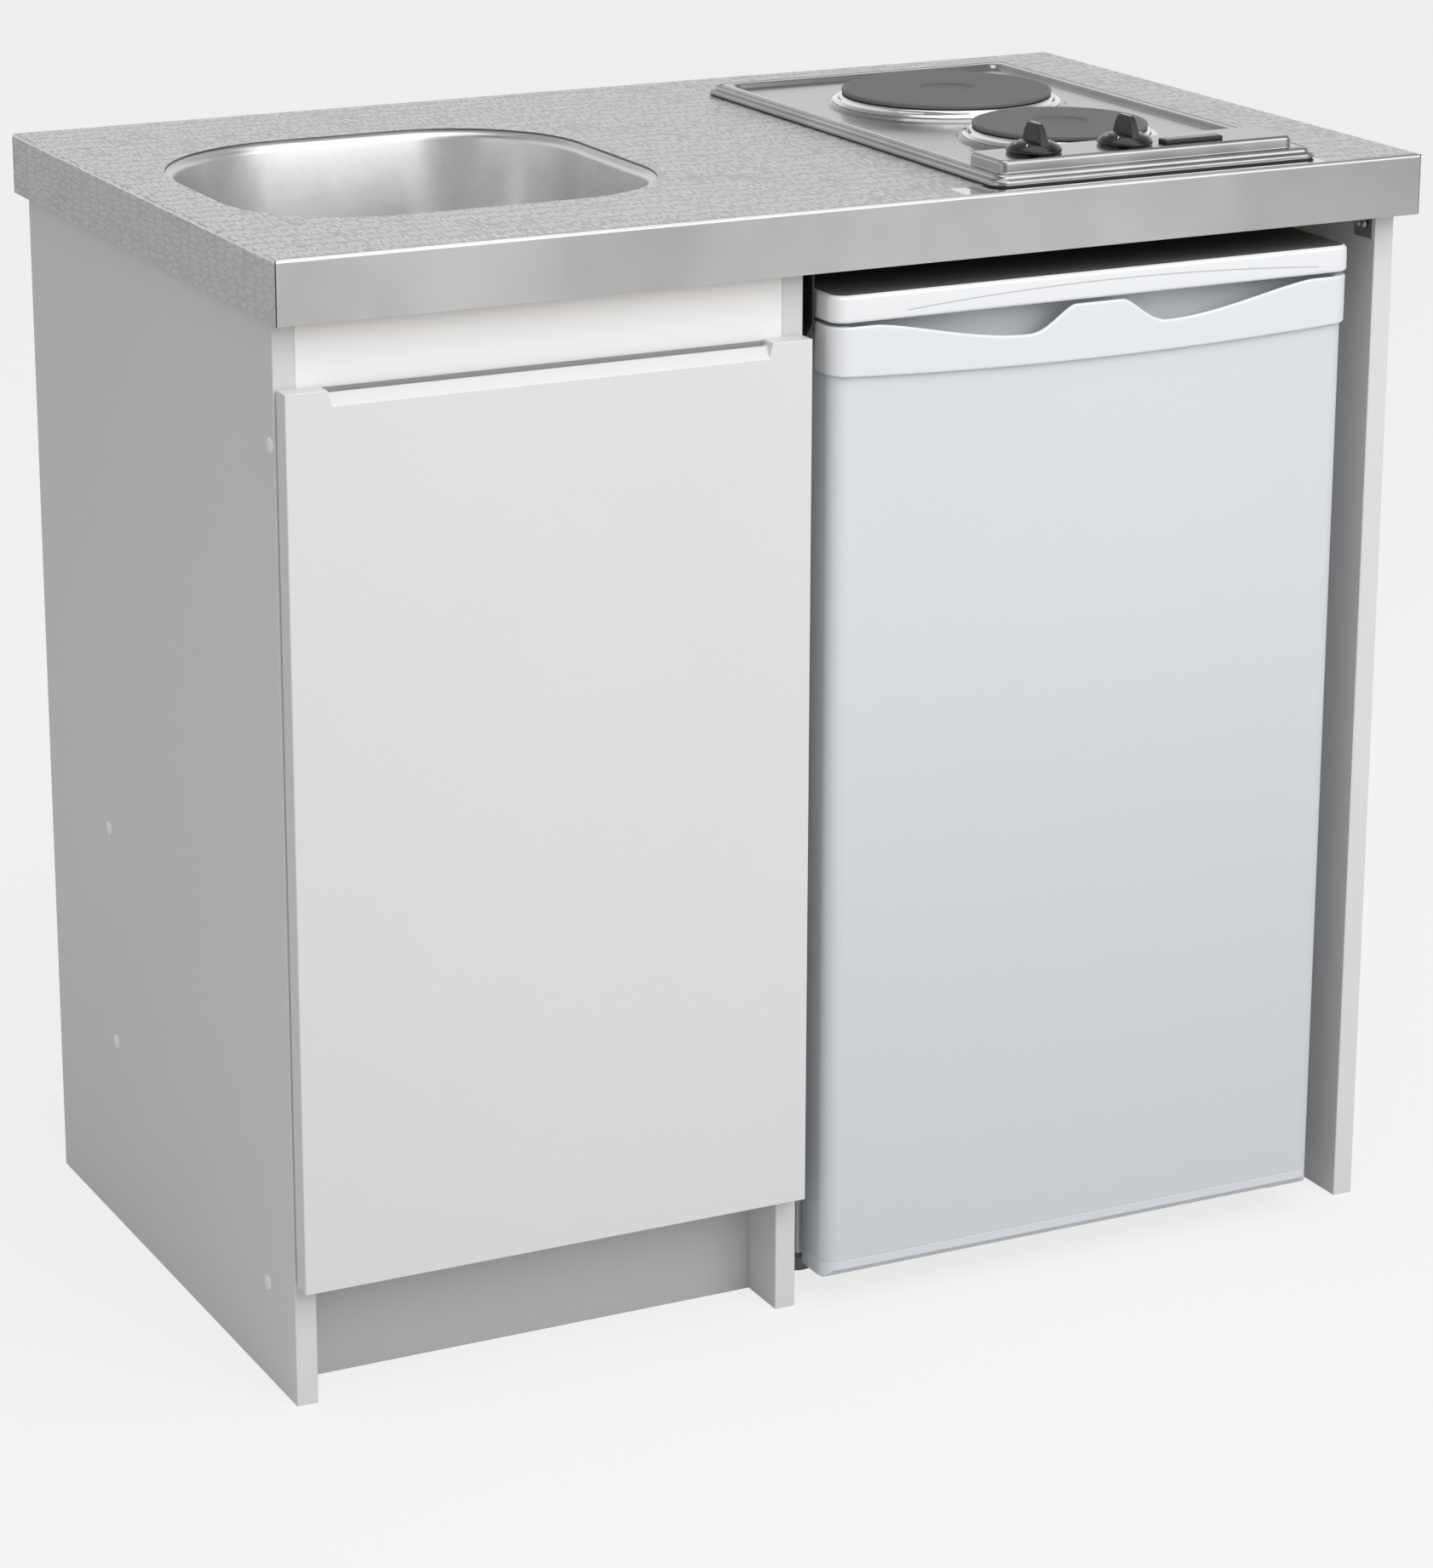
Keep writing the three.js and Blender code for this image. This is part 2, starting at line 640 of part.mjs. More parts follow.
/** The pipe from the trap: straight back over the back panel, then an elbow down behind it. */
function outletPipe(z) {
  const startY = wasteY + trapRadius;
  const bendY = backY[1] + pipeFromBackPanel;
  const bend = pipeBendRadius;
  const path = new THREE.CurvePath();
  const bendStart = new THREE.Vector3(wasteX, bendY - bend, z);
  path.add(new THREE.LineCurve3(new THREE.Vector3(wasteX, startY, z), bendStart));
  path.add(new THREE.QuadraticBezierCurve3(
    new THREE.Vector3(wasteX, bendY - bend, z),
    new THREE.Vector3(wasteX, bendY, z),
    new THREE.Vector3(wasteX, bendY, z - bend),
  ));
  path.add(new THREE.LineCurve3(new THREE.Vector3(wasteX, bendY, z - bend),
    new THREE.Vector3(wasteX, bendY, z - trapElbowDrop)));
  const tube = (radius) => {
    const section = new THREE.Shape();
    section.absarc(0, 0, radius, 0, 2 * Math.PI, false);
    return toSolid(new THREE.ExtrudeGeometry(section, { steps: 9, extrudePath: path, curveSegments: 6 }));
  };
  const lining = tube(trapOutletRadius - trapOutletWall);
  const reach = 0.5;
  const mouth = disc(wasteX, bendY, [z - trapElbowDrop - reach, z - trapElbowDrop + reach],
    trapOutletRadius - trapOutletWall - 0.2, 20);
  const inlet = new THREE.CylinderGeometry(trapOutletRadius - trapOutletWall - 0.2,
    trapOutletRadius - trapOutletWall - 0.2, 2 * reach, 20);
  inlet.translate(wasteX, startY, z);
  return cut(tube(trapOutletRadius), lining, mouth, toSolid(inlet));
}

// ---------------------------------------------------------------- hob
const hobMidX = (hobX[0] + hobX[1]) / 2;
const sealTopZ = unitHeight + hobSealThickness;
const hobTopZ = sealTopZ + hobLipHeight + hobStepHeight;
const hobFloorZ = hobTopZ - hobTrayDepth;
const boxTopZ = hobTopZ + controlBoxHeight;
const boxX = [hobX[0] + controlBoxFromLeft, hobX[0] + controlBoxFromLeft + controlBoxWidth];
const boxY = [hobY[0] + controlBoxFromFront, hobY[0] + controlBoxFromFront + controlBoxDepth];
const plates = [
  { name: 'plate_small', radius: smallPlateRadius, y: hobY[0] + smallPlateFromFront },
  { name: 'plate_large', radius: largePlateRadius, y: hobY[0] + smallPlateFromFront + plateSpacing },
];
const knobs = [
  { side: 'left', x: boxX[0] + leftKnobFromBoxLeft },
  { side: 'right', x: boxX[0] + leftKnobFromBoxLeft + knobSpacing },
];
const knobY = (boxY[0] + boxY[1]) / 2;

/** The pressed form of the hob top, drawn in by an offset so that two of them make a sheet. */
function hobForm(offset, bottomZ) {
  const edge = 2.5;
  const lipZ = [bottomZ, sealTopZ + hobLipHeight - offset];
  const lip = softSlab(grown(hobX, -offset), grown(hobY, -offset), lipZ, hobCorner - offset,
    edge - offset * 0.6, 2);
  const step = softSlab(grown(hobX, -hobStepInset - offset), grown(hobY, -hobStepInset - offset),
    [bottomZ, hobTopZ - offset], hobCorner - hobStepInset - offset, edge - offset * 0.6, 2);
  const box = softSlab(grown(boxX, -offset), grown(boxY, -offset), [bottomZ, boxTopZ - offset],
    controlBoxCorner - offset, 3 - offset * 0.6, 2);
  const trayX = grown(hobX, -hobTrayMargin + offset);
  const trayY = [boxY[1] + 5 - offset, hobY[1] - hobTrayMargin + offset];
  const tray = upright(plan(trayX, trayY, [9, 9, 9, 9]), [hobFloorZ - offset, hobTopZ + 1], 2);
  let form = cut(join(lip, step), tray);
  for (const plate of plates) {
    form = join(form, disc(hobMidX, plate.y, [bottomZ, hobFloorZ + seatHeight - offset],
      plate.radius + trimWidth + seatWidth - offset, 26, plate.radius + trimWidth + 2 - offset));
  }
  return join(form, box);
}

function buildHobTop() {
  let top = cut(hobForm(0, sealTopZ), hobForm(hobSheet, sealTopZ - 1));
  for (const plate of plates) {
    top = cut(top, disc(hobMidX, plate.y, [unitHeight, boxTopZ], plate.radius - plateHoleInset, 26));
  }
  for (const knob of knobs) {
    top = cut(top, disc(knob.x, knobY, [unitHeight, boxTopZ + 1], knobHoleRadius, 16));
  }
  place('hob_top', top, material.brightSteel);

  const seal = cut(
    upright(plan(grown(hobX, -1), grown(hobY, -1), Array(4).fill(hobCorner - 1)), [unitHeight, sealTopZ], 2),
    block(grown(hobX, -hobSealWidth), grown(hobY, -hobSealWidth), [unitHeight - 1, sealTopZ + 1]),
  );
  place('hob_seal', seal, material.blackPlastic);

  const housingX = grown(hobX, -hobCutoutMargin - 1);
  const housingY = grown(hobY, -hobCutoutMargin - 1);
  const housingZ = [sealTopZ - hobHousingDepth, hobTopZ - hobSheet - fitGap];
  const housing = cut(
    block(housingX, housingY, housingZ),
    block(grown(housingX, -hobSheet), grown(housingY, -hobSheet), [housingZ[0] + hobSheet, housingZ[1] + 1]),
  );
  place('hob_housing', housing, material.zincSteel);
}

function buildPlate({ name, radius, y }) {
  const seatZ = hobFloorZ + seatHeight;
  const plateZ = seatZ + trimHeight - 1;
  const topZ = plateThickness;
  const bead = radius - plateSkirtInset;
  place(name, turned([
    [0, topZ - plateHubDepth], [plateHubRadius - 2, topZ - plateHubDepth], [plateHubRadius, topZ],
    [radius - 1.5, topZ], [radius, topZ - 1.2], [radius, 1.4], [radius - 1, 0.3], [bead, 0.3], [bead, -8],
    [bead - 5, -8], [bead - 5, -2], [0, -2],
  ], hobMidX, y, plateZ, 30), material.castIron);

  const inner = radius + 0.4;
  const outer = radius + trimWidth;
  const foot = seatZ + fitGap - plateZ;
  place(`${name}_trim`, turned([
    [bead + fitGap, 0], [inner, 0], [inner + 1.6, -0.4], [inner + 4.6, foot + 3], [outer, foot + 0.6],
    [outer, foot], [inner - 2, foot], [bead + fitGap, foot], [bead + fitGap, 0],
  ], hobMidX, y, plateZ, 30), material.brightSteel);
}

/** A control knob: a low dome with a raised grip across it and a stem down to its switch. */
function buildKnob({ side, x }) {
  const baseZ = boxTopZ + knobClearance;
  const dome = turned([
    [0, 0], [knobRadius - 1, 0], [knobRadius, 1.2], [knobRadius - 1, 3.4], [knobRadius * 0.8, 6.4],
    [knobRadius * 0.52, 8.3], [0, knobHeight],
  ], x, knobY, baseZ, 24);
  const half = knobGripWidth / 2;
  const gripTopZ = baseZ + knobGripHeight;
  const grip = drawn([
    [knobY - knobRadius + 2.5, baseZ + 1], [knobY + knobRadius * 0.62, baseZ + 1],
    [knobY + knobRadius * 0.42, gripTopZ - 3], [knobY + knobRadius * 0.3, gripTopZ],
    [knobY - knobRadius * 0.3, gripTopZ], [knobY - knobRadius * 0.55, gripTopZ - 4],
  ], 'x', [x - half, x + half]);
  const switchTopZ = boxTopZ - hobSheet - fitGap;
  const stem = disc(x, knobY, [switchTopZ + fitGap, baseZ + 1], knobStemRadius, 16);
  place(`knob_${side}`, join(dome, grip, stem), material.blackPlastic);

  const halfSize = switchSize / 2;
  place(`switch_${side}`, cut(
    block(
      [x - halfSize, x + halfSize], [knobY - halfSize, knobY + halfSize],
      [switchTopZ - switchHeight, switchTopZ],
    ),
    disc(x, knobY, [switchTopZ - 8, switchTopZ + 1], knobStemRadius + 1, 16),
  ), material.blackPlastic);
}

// ---------------------------------------------------------------- carcass
const railZ = [undersideZ - frontRailHeight, undersideZ];
const backY = [carcassRearY - serviceVoid, carcassRearY - serviceVoid + backBoard];

function buildCarcass() {
  const panelY = [carcassFrontY, carcassRearY];
  const panelZ = [0, undersideZ];
  const between = [cabinetInnerLeftX, cabinetInnerRightX];
  const baseZ = [plinthHeight, plinthHeight + backBoard];
  const plinthFrontY = carcassFrontY + plinthRecess;
  const rearRailY = [carcassRearY - board, carcassRearY];
  const rearRailZ = [undersideZ - rearRailHeight, undersideZ];
  const boards = {
    side_panel_left: block([cabinetLeftX, cabinetInnerLeftX], panelY, panelZ),
    side_panel_middle: block([cabinetInnerRightX, cabinetRightX], panelY, panelZ),
    side_panel_right: block([rightPanelInnerX, rightPanelOuterX], panelY, panelZ),
    base_panel: block(between, [carcassFrontY, backY[1]], baseZ),
    back_panel: block(between, backY, [baseZ[1], baseZ[1] + backPanelHeight]),
    front_rail: block(between, [carcassFrontY, carcassFrontY + board], railZ),
    rear_rail: block(between, rearRailY, rearRailZ),
    niche_rear_rail: block([cabinetRightX, rightPanelInnerX], rearRailY, rearRailZ),
    plinth_board: block(between, [plinthFrontY, plinthFrontY + board], [0, plinthHeight]),
  };
  for (const [name, solid] of Object.entries(boards)) {
    place(name, solid, material.whiteBoard);
  }
}

/** A folded steel bracket: a channel open to the front, with its foot cut on a slant. */
function buildBrackets() {
  const y = [carcassFrontY + 2, carcassFrontY + 2 + bracketDepth];
  const top = undersideZ;
  const low = top - bracketHeight;
  const web = cabinetRightX + bracketWidth;
  const channel = drawn([
    [cabinetRightX, low], [web, low + bracketChamfer], [web, top], [cabinetRightX, top],
  ], 'y', y);
  const hollow = drawn([
    [cabinetRightX + bracketSheet, low + 2 * bracketSheet],
    [web - bracketSheet, low + bracketChamfer + 2 * bracketSheet],
    [web - bracketSheet, top - bracketSheet], [cabinetRightX + bracketSheet, top - bracketSheet],
  ], 'y', [y[0] - 1, y[1] - bracketSheet]);
  place('bracket_middle', cut(channel, hollow), material.blackSteel);

  const angle = cut(
    block([rightPanelInnerX - bracketDepth, rightPanelInnerX], y, [top - smallBracketHeight, top]),
    block([rightPanelInnerX - bracketDepth - 1, rightPanelInnerX - bracketSheet], [y[0] - 1, y[1] + 1],
      [top - smallBracketHeight - 1, top - bracketSheet]),
  );
  place('bracket_right', angle, material.zincSteel);
}

// ---------------------------------------------------------------- cupboard door and its hinges
const doorX = [cabinetLeftX + doorReveal, cabinetRightX - doorReveal];
const doorY = [carcassFrontY - doorGap - board, carcassFrontY - doorGap];
const doorZ = [plinthHeight, undersideZ - doorTopClearance];
const hingeHeights = { lower: doorZ[0] + hingeFromDoorEnd, upper: doorZ[1] - hingeFromDoorEnd };
const cupX = doorX[0] + hingeCupInset;

function buildDoor() {
  const ridgeZ = doorZ[1] - gripDrop;
  const frontDrop = gripDrop + gripBevel;
  const ridgeFrontY = doorY[0] + gripBevel * 0.95;
  const past = 3;
  const grip = drawn([
    [doorY[0] - past, doorZ[1] - frontDrop - past], [ridgeFrontY, ridgeZ], [ridgeFrontY + gripRidge, ridgeZ],
    [ridgeFrontY + gripRidge, doorZ[1] - gripGrooveDepth], [doorY[1] + past, doorZ[1] - gripGrooveDepth],
    [doorY[1] + past, doorZ[1] + past], [doorY[0] - past, doorZ[1] + past],
  ], 'x', [doorX[0] + gripEndTab, doorX[1] - gripEndTab]);
  const slope = gripGrooveDepth / 2 + gripTabSlope;
  const window = drawn([
    [doorX[0] + gripEndTab, doorZ[1] + past], [doorX[0] + gripEndTab, doorZ[1]],
    [doorX[0] + gripEndTab + gripTabSlope, doorZ[1] - slope],
    [doorX[0] + gripEndTab + gripTabSlope, doorZ[1] - gripGrooveDepth - past],
    [doorX[1] - gripEndTab - gripTabSlope, doorZ[1] - gripGrooveDepth - past],
    [doorX[1] - gripEndTab - gripTabSlope, doorZ[1] - slope], [doorX[1] - gripEndTab, doorZ[1]],
    [doorX[1] - gripEndTab, doorZ[1] + past],
  ], 'y', [doorY[0] - past, doorY[1] + past]);
  let door = cut(block(doorX, doorY, doorZ), grip.intersect(window));
  for (const z of Object.values(hingeHeights)) {
    const seatY = [doorY[1] - hingeCupDepth - fitGap, doorY[1] + 1];
    door = cut(door, rodY(cupX, seatY, z, hingeCupRadius + fitGap, 24));
  }
  place('door_panel', door, material.whiteDoor);
}

/** A round bar that lies along Y. */
function rodY(x, [y0, y1], z, radius, sides = 24) {
  const geometry = new THREE.CylinderGeometry(radius, radius, y1 - y0, sides);
  geometry.translate(x, (y0 + y1) / 2, z);
  return toSolid(geometry);
}

/** A cup let into the door's back, with its screw flange, and the arm on the panel that it folds round. */
function buildHinge(level) {
  const z = hingeHeights[level];
  const backFaceY = doorY[1];
  const wall = 1.2;
  const flangeHalf = hingeFlangeLength / 2;
  const flangeX = [cupX - hingeFlangeWidth / 2, cupX + hingeFlangeWidth / 2];
  const cup = cut(
    join(
      rodY(cupX, [backFaceY - hingeCupDepth, backFaceY + hingeFlangeThickness], z, hingeCupRadius, 24),
      block(flangeX, [backFaceY, backFaceY + hingeFlangeThickness], [z - flangeHalf, z + flangeHalf]),
    ),
    rodY(cupX, [backFaceY - hingeCupDepth + wall, backFaceY + 3], z, hingeCupRadius - wall, 24),
  );
  place(`hinge_cup_${level}`, cup, material.zincSteel);

  const half = hingeArmHeight / 2;
  const noseY = carcassFrontY + fitGap;
  const baseY = noseY + hingeArmReach;
  const armX = cabinetInnerLeftX;
  const arm = drawn([
    [armX + 3, baseY], [armX + 3, baseY - 40], [armX + 2, noseY + 14], [armX + 2, noseY], [armX + 10, noseY],
    [armX + 14, noseY + 8], [armX + 15, noseY + 20], [armX + 14, baseY],
  ], 'z', [z - half, z + half]);
  const plate = block([armX, armX + 4], [baseY - 38, baseY], [z - flangeHalf * 0.8, z + flangeHalf * 0.8]);
  place(`hinge_arm_${level}`, join(plate, arm), material.zincSteel);
}

// ---------------------------------------------------------------- refrigerator
const fridgeX = [cabinetRightX + fridgeFromMiddlePanel, cabinetRightX + fridgeFromMiddlePanel + fridgeWidth];
const fridgeDoorY = [frontY + bandProud, frontY + bandProud + fridgeDoorThickness];
const fridgeBodyY = [fridgeDoorY[1] + gasketDepth, fridgeDoorY[1] + gasketDepth + fridgeBodyDepth];
const capZ = [fridgeHeight - capThickness, fridgeHeight];
const fridgeBodyZ = [fridgeFootHeight, capZ[0]];
const fridgeDoorZ = [fridgeDoorBottom, capZ[0] - capDoorGap];
const cavityX = grown(fridgeX, -fridgeWall);
const cavityY = [fridgeBodyY[0], fridgeBodyY[1] - fridgeBackWall];
const cavityZ = [fridgeBodyZ[0] + fridgeWall, fridgeBodyZ[1] - fridgeWall];
const stepZ = cavityZ[0] + compressorStepHeight;
const stepY = cavityY[1] - compressorStepDepth;
const axisX = fridgeX[1] - hingeAxisInset;
const axisY = fridgeDoorY[0] + hingeAxisFromFront;
const topPlateX = [fridgeX[1] - hingePlateWidth, fridgeX[1]];

function buildFridgeBody() {
  const compressorBay = block(grown(fridgeX, 1), [stepY + fridgeBackWall, fridgeBodyY[1] + 1],
    [fridgeBodyZ[0] - 1, stepZ - fridgeWall]);
  const hingeNotch = block([topPlateX[0] - fitGap, fridgeX[1] + 1], [fridgeBodyY[0] - 1, fridgeBodyY[0] + 30],
    [fridgeBodyZ[1] - hingePlateThickness - fitGap, fridgeBodyZ[1] + 1]);
  const cavity = join(
    block(cavityX, [cavityY[0] - 1, stepY], cavityZ),
    block(cavityX, [stepY - 1, cavityY[1]], [stepZ, cavityZ[1]]),
  );
  place('fridge_cabinet', cut(block(fridgeX, fridgeBodyY, fridgeBodyZ), cavity, compressorBay, hingeNotch),
    material.fridgeWhite);

  const capX = grown(fridgeX, capOverhang);
  const capY = [frontY, fridgeBodyY[1]];
  place('fridge_top_cap', softSlab(capX, capY, capZ, fridgeFrontCorner, capEdgeRadius, 3),
    material.fridgeWhite);
}

/** The fridge door in plan, moved out by one margin at its front and another at its sides. */
function fridgeDoorPlan(front, side) {
  const r = fridgeFrontCorner + side;
  return plan(grown(fridgeX, side), [fridgeDoorY[0] - front, fridgeDoorY[1]], [r, 0, 0, r]);
}

function buildFridgeDoor() {
  const bandTop = fridgeDoorZ[1];
  const bandEndZ = bandTop - bandEndHeight;
  const slabZ = [fridgeDoorZ[0] + sillHeight + fitGap, fridgeDoorZ[1]];
  const pocketX = grown(fridgeX, -fridgeFrontCorner);
  const pocketY = [fridgeDoorY[0] - 20, fridgeDoorY[0] + handlePocketDepth];
  const pocket = upright(
    plan(pocketX, pocketY, [0, handlePocketCorner, handlePocketCorner, 0]), [bandEndZ + 4, bandTop + 1], 3,
  );
  const pinHole = (z) => disc(axisX, axisY, [z - hingePinLength - 1, z + hingePinLength + 1],
    hingePinRadius + fitGap, 16);
  const ribZ = [slabZ[0] + 48, cavityZ[1] - iceBoxHeight - 20];
  const ribY = [fridgeDoorY[1] - 1, fridgeDoorY[1] + ribDepth];
  const rackX = doorRackSpan();
  const slab = cut(
    join(
      upright(fridgeDoorPlan(0, 0), slabZ, 3),
      block([rackX[0] - ribThickness - fitGap, rackX[0] - fitGap], ribY, ribZ),
      block([rackX[1] + fitGap, rackX[1] + ribThickness + fitGap], ribY, ribZ),
    ),
    pocket,
    pinHole(slabZ[1]),
    pinHole(slabZ[0]),
  );
  place('fridge_door', slab, material.fridgeWhite);

  // The moulded foot of the door, chamfered along its lower front edge.
  const sillZ = [fridgeDoorZ[0], fridgeDoorZ[0] + sillHeight];
  const sillRelief = drawn([
    [fridgeDoorY[0] - 2, sillZ[0] - 1], [fridgeDoorY[0] + 7, sillZ[0] - 1],
    [fridgeDoorY[0] + 1.5, sillZ[0] + 6], [fridgeDoorY[0] - 2, sillZ[0] + 6],
  ], 'x', grown(fridgeX, 2));
  place('fridge_door_sill', cut(upright(fridgeDoorPlan(0, 0), sillZ, 3), sillRelief, pinHole(sillZ[0])),
    material.fridgeWhite);

  place('fridge_handle_band', handleBand(bandTop, bandEndZ), material.fridgeWhite);

  // The seal stops short of the hinge axis, so that it swings clear of the body.
  const outer = [[fridgeX[0] + gasketInset, axisX - 1], [slabZ[0] + gasketInset, slabZ[1] - gasketInset]];
  const inner = [grown(outer[0], -gasketWidth), grown(outer[1], -gasketWidth)];
  const gasketY = [fridgeDoorY[1], fridgeBodyY[0] - fitGap];
  place('fridge_gasket', cut(
    block(outer[0], gasketY, outer[1]),
    block(inner[0], [gasketY[0] - 1, gasketY[1] + 1], inner[1]),
  ), material.greyRubber);
}

/** How far the door racks reach from side to side, so that they swing clear of the liner. */
function doorRackSpan() {
  return [cavityX[0] + 26, cavityX[1] - 26];
}

/**
 * The band across the head of the door. Its top edge dips on either side of a tab in the middle, where the
 * fingers reach behind it, and its lower edge sags in one shallow arc.
 */
function handleBand(top, endZ) {
  const midX = (fridgeX[0] + fridgeX[1]) / 2;
  const half = fridgeWidth / 2 + bandSideProud;
  const ease = (t) => t * t * (3 - 2 * t);
  const drop = (s) => {
    const edge = half - 42;
    const low = handleTabHalf + 42;
    if (s <= handleTabHalf || s >= edge) {
      return 0;
    }
    return s < low
      ? handleDip * ease((s - handleTabHalf) / (low - handleTabHalf)) ** 0.8
      : handleDip * ease((edge - s) / (edge - low)) ** 0.8;
  };
  const upper = [];
  for (let i = -34; i <= 34; i += 1) {
    const s = Math.abs((i / 34) ** 3 * 0.35 + (i / 34) * 0.65) * half;
    upper.push([midX + Math.sign(i) * s, top - drop(s)]);
  }
  const lower = [];
  for (let i = 12; i >= -12; i -= 1) {
    lower.push([midX + (i / 12) * half, endZ - bandSag * (1 - (i / 12) ** 2)]);
  }
  upper[0][0] -= 1;
  upper[upper.length - 1][0] += 1;
  lower[0][0] += 1;
  lower[lower.length - 1][0] -= 1;
  const face = drawn([...lower.reverse(), ...upper.reverse()], 'y', [frontY - 1, fridgeDoorY[1]]);
  const shell = cut(
    upright(fridgeDoorPlan(bandProud, bandSideProud), [endZ - bandSag - 1, top], 3),
    upright(fridgeDoorPlan(fitGap, fitGap), [endZ - bandSag - 2, top + 1], 3),
    block(grown(fridgeX, 10), [frontY + bandWrap, fridgeDoorY[1] + 1], [endZ - bandSag - 2, top + 1]),
  );
  return shell.intersect(face);
}

/** A hinge plate with its pin, over or under the door. */
function buildFridgeHinges() {
  const plateY = [axisY - 9, fridgeBodyY[0] + 28];
  const topZ = [fridgeBodyZ[1] - hingePlateThickness, fridgeBodyZ[1]];
  place('fridge_hinge_top', join(
    block(topPlateX, plateY, topZ),
    disc(axisX, axisY, [fridgeDoorZ[1] - hingePinLength, topZ[0] + 1], hingePinRadius, 16),
  ), material.zincSteel);

  const lowZ = [fridgeDoorZ[0] - fitGap - hingePlateThickness, fridgeDoorZ[0] - fitGap];
  place('fridge_hinge_bottom', join(
    block(topPlateX, plateY, lowZ),
    block(topPlateX, [fridgeBodyY[0] + 2, plateY[1]], [lowZ[0], fridgeBodyZ[0]]),
    disc(axisX, axisY, [lowZ[1] - 1, fridgeDoorZ[0] + hingePinLength], hingePinRadius, 16),
  ), material.zincSteel);
}

/** A door rack: a tray with a tall front, held between the two ribs of the door. */
function buildRack(name, z) {
  const [x0, x1] = doorRackSpan();
  const y = [fridgeDoorY[1], fridgeDoorY[1] + rackDepth];
  place(name, cut(
    upright(plan([x0, x1], y, [0, 16, 16, 0]), [z, z + rackHeight], 2),
    upright(plan([x0 + rackWall, x1 - rackWall], [y[0] - 1, y[1] - rackWall], [0, 14, 14, 0]),
      [z + rackWall, z + rackHeight + 1], 2),
    block([x0 - 1, x1 + 1], [y[0] - 1, y[0] + rackDepth * 0.35], [z + rackHeight * 0.7, z + rackHeight + 1]),
  ), material.linerWhite);
}

function buildFridgeInside() {
  const iceZ = [cavityZ[1] - iceBoxHeight, cavityZ[1]];
  const iceX = grown(cavityX, -iceBoxSideGap);
  const iceY = [cavityY[1] - iceBoxDepth, cavityY[1]];
  place('ice_box', cut(
    block(iceX, iceY, iceZ),
    block(grown(iceX, -iceBoxSheet), [iceY[0] - 1, iceY[1] - iceBoxSheet],
      [iceZ[0] + iceBoxSheet, iceZ[1] - iceBoxSheet]),
  ), material.aluminium);

  // The flap hangs from two pins in the cheeks of the liner, in front of the ice box.
  const flapTop = iceZ[1] - 6;
  const flapY = [iceY[0] - flapThickness - flapGap, iceY[0] - flapGap];
  const pinZ = flapTop - flapPinRadius - 2;
  const pinY = (flapY[0] + flapY[1]) / 2;
  place('ice_flap', join(
    block(iceX, flapY, [iceZ[0] + 2, flapTop]),
    rodX([cavityX[0] + fitGap, cavityX[1] - fitGap], pinY, pinZ, flapPinRadius, 12),
  ), material.linerWhite);

  const shelves = {
    fridge_shelf_upper: iceZ[0] - upperShelfDrop,
    fridge_shelf_lower: stepZ + fitGap,
  };
  for (const [name, z] of Object.entries(shelves)) {
    const shelfY = [cavityY[1] - shelfDepth, cavityY[1] - fitGap];
    const lip = cut(
      block(grown(cavityX, -fitGap), [shelfY[0], shelfY[0] + 12], [z - 4, z + shelfThickness + 4]),
      block(grown(cavityX, 1), [shelfY[0] + 3, shelfY[0] + 13], [z + shelfThickness, z + shelfThickness + 5]),
      block(grown(cavityX, 1), [shelfY[0] + 3, shelfY[0] + 13], [z - 5, z]),
    );
    place(name, join(block(grown(cavityX, -fitGap), shelfY, [z, z + shelfThickness]), lip), material.glass);
  }

  buildRack('fridge_rack_lower', fridgeDoorZ[0] + lowerRackFromBottom);
  buildRack('fridge_rack_upper', fridgeDoorZ[0] + upperRackFromBottom);

  // The control on the right wall, under the ice box, with its wheel on the face towards the door.
  const boxTop = iceZ[0] - 4;
  const controlX = [cavityX[1] - thermostatWidth, cavityX[1] - fitGap];
  const controlY = [cavityY[1] - shelfDepth + 6, cavityY[1] - shelfDepth + 6 + thermostatLength];
  const housing = block(controlX, controlY, [boxTop - thermostatHeight, boxTop]);
  place('thermostat_housing', housing, material.linerWhite);
  const wheelY = [controlY[0] - fitGap - thermostatKnobHeight, controlY[0] - fitGap];
  const wheelX = (controlX[0] + controlX[1]) / 2;
  const wheelZ = boxTop - thermostatHeight / 2;
  place('thermostat_knob', cut(
    rodY(wheelX, wheelY, wheelZ, thermostatKnobRadius, 28),
    block(
      [wheelX - 1, wheelX + 1], [wheelY[0] - 1, wheelY[0] + 1], [wheelZ + 4, wheelZ + thermostatKnobRadius],
    ),
  ), material.linerWhite);
}

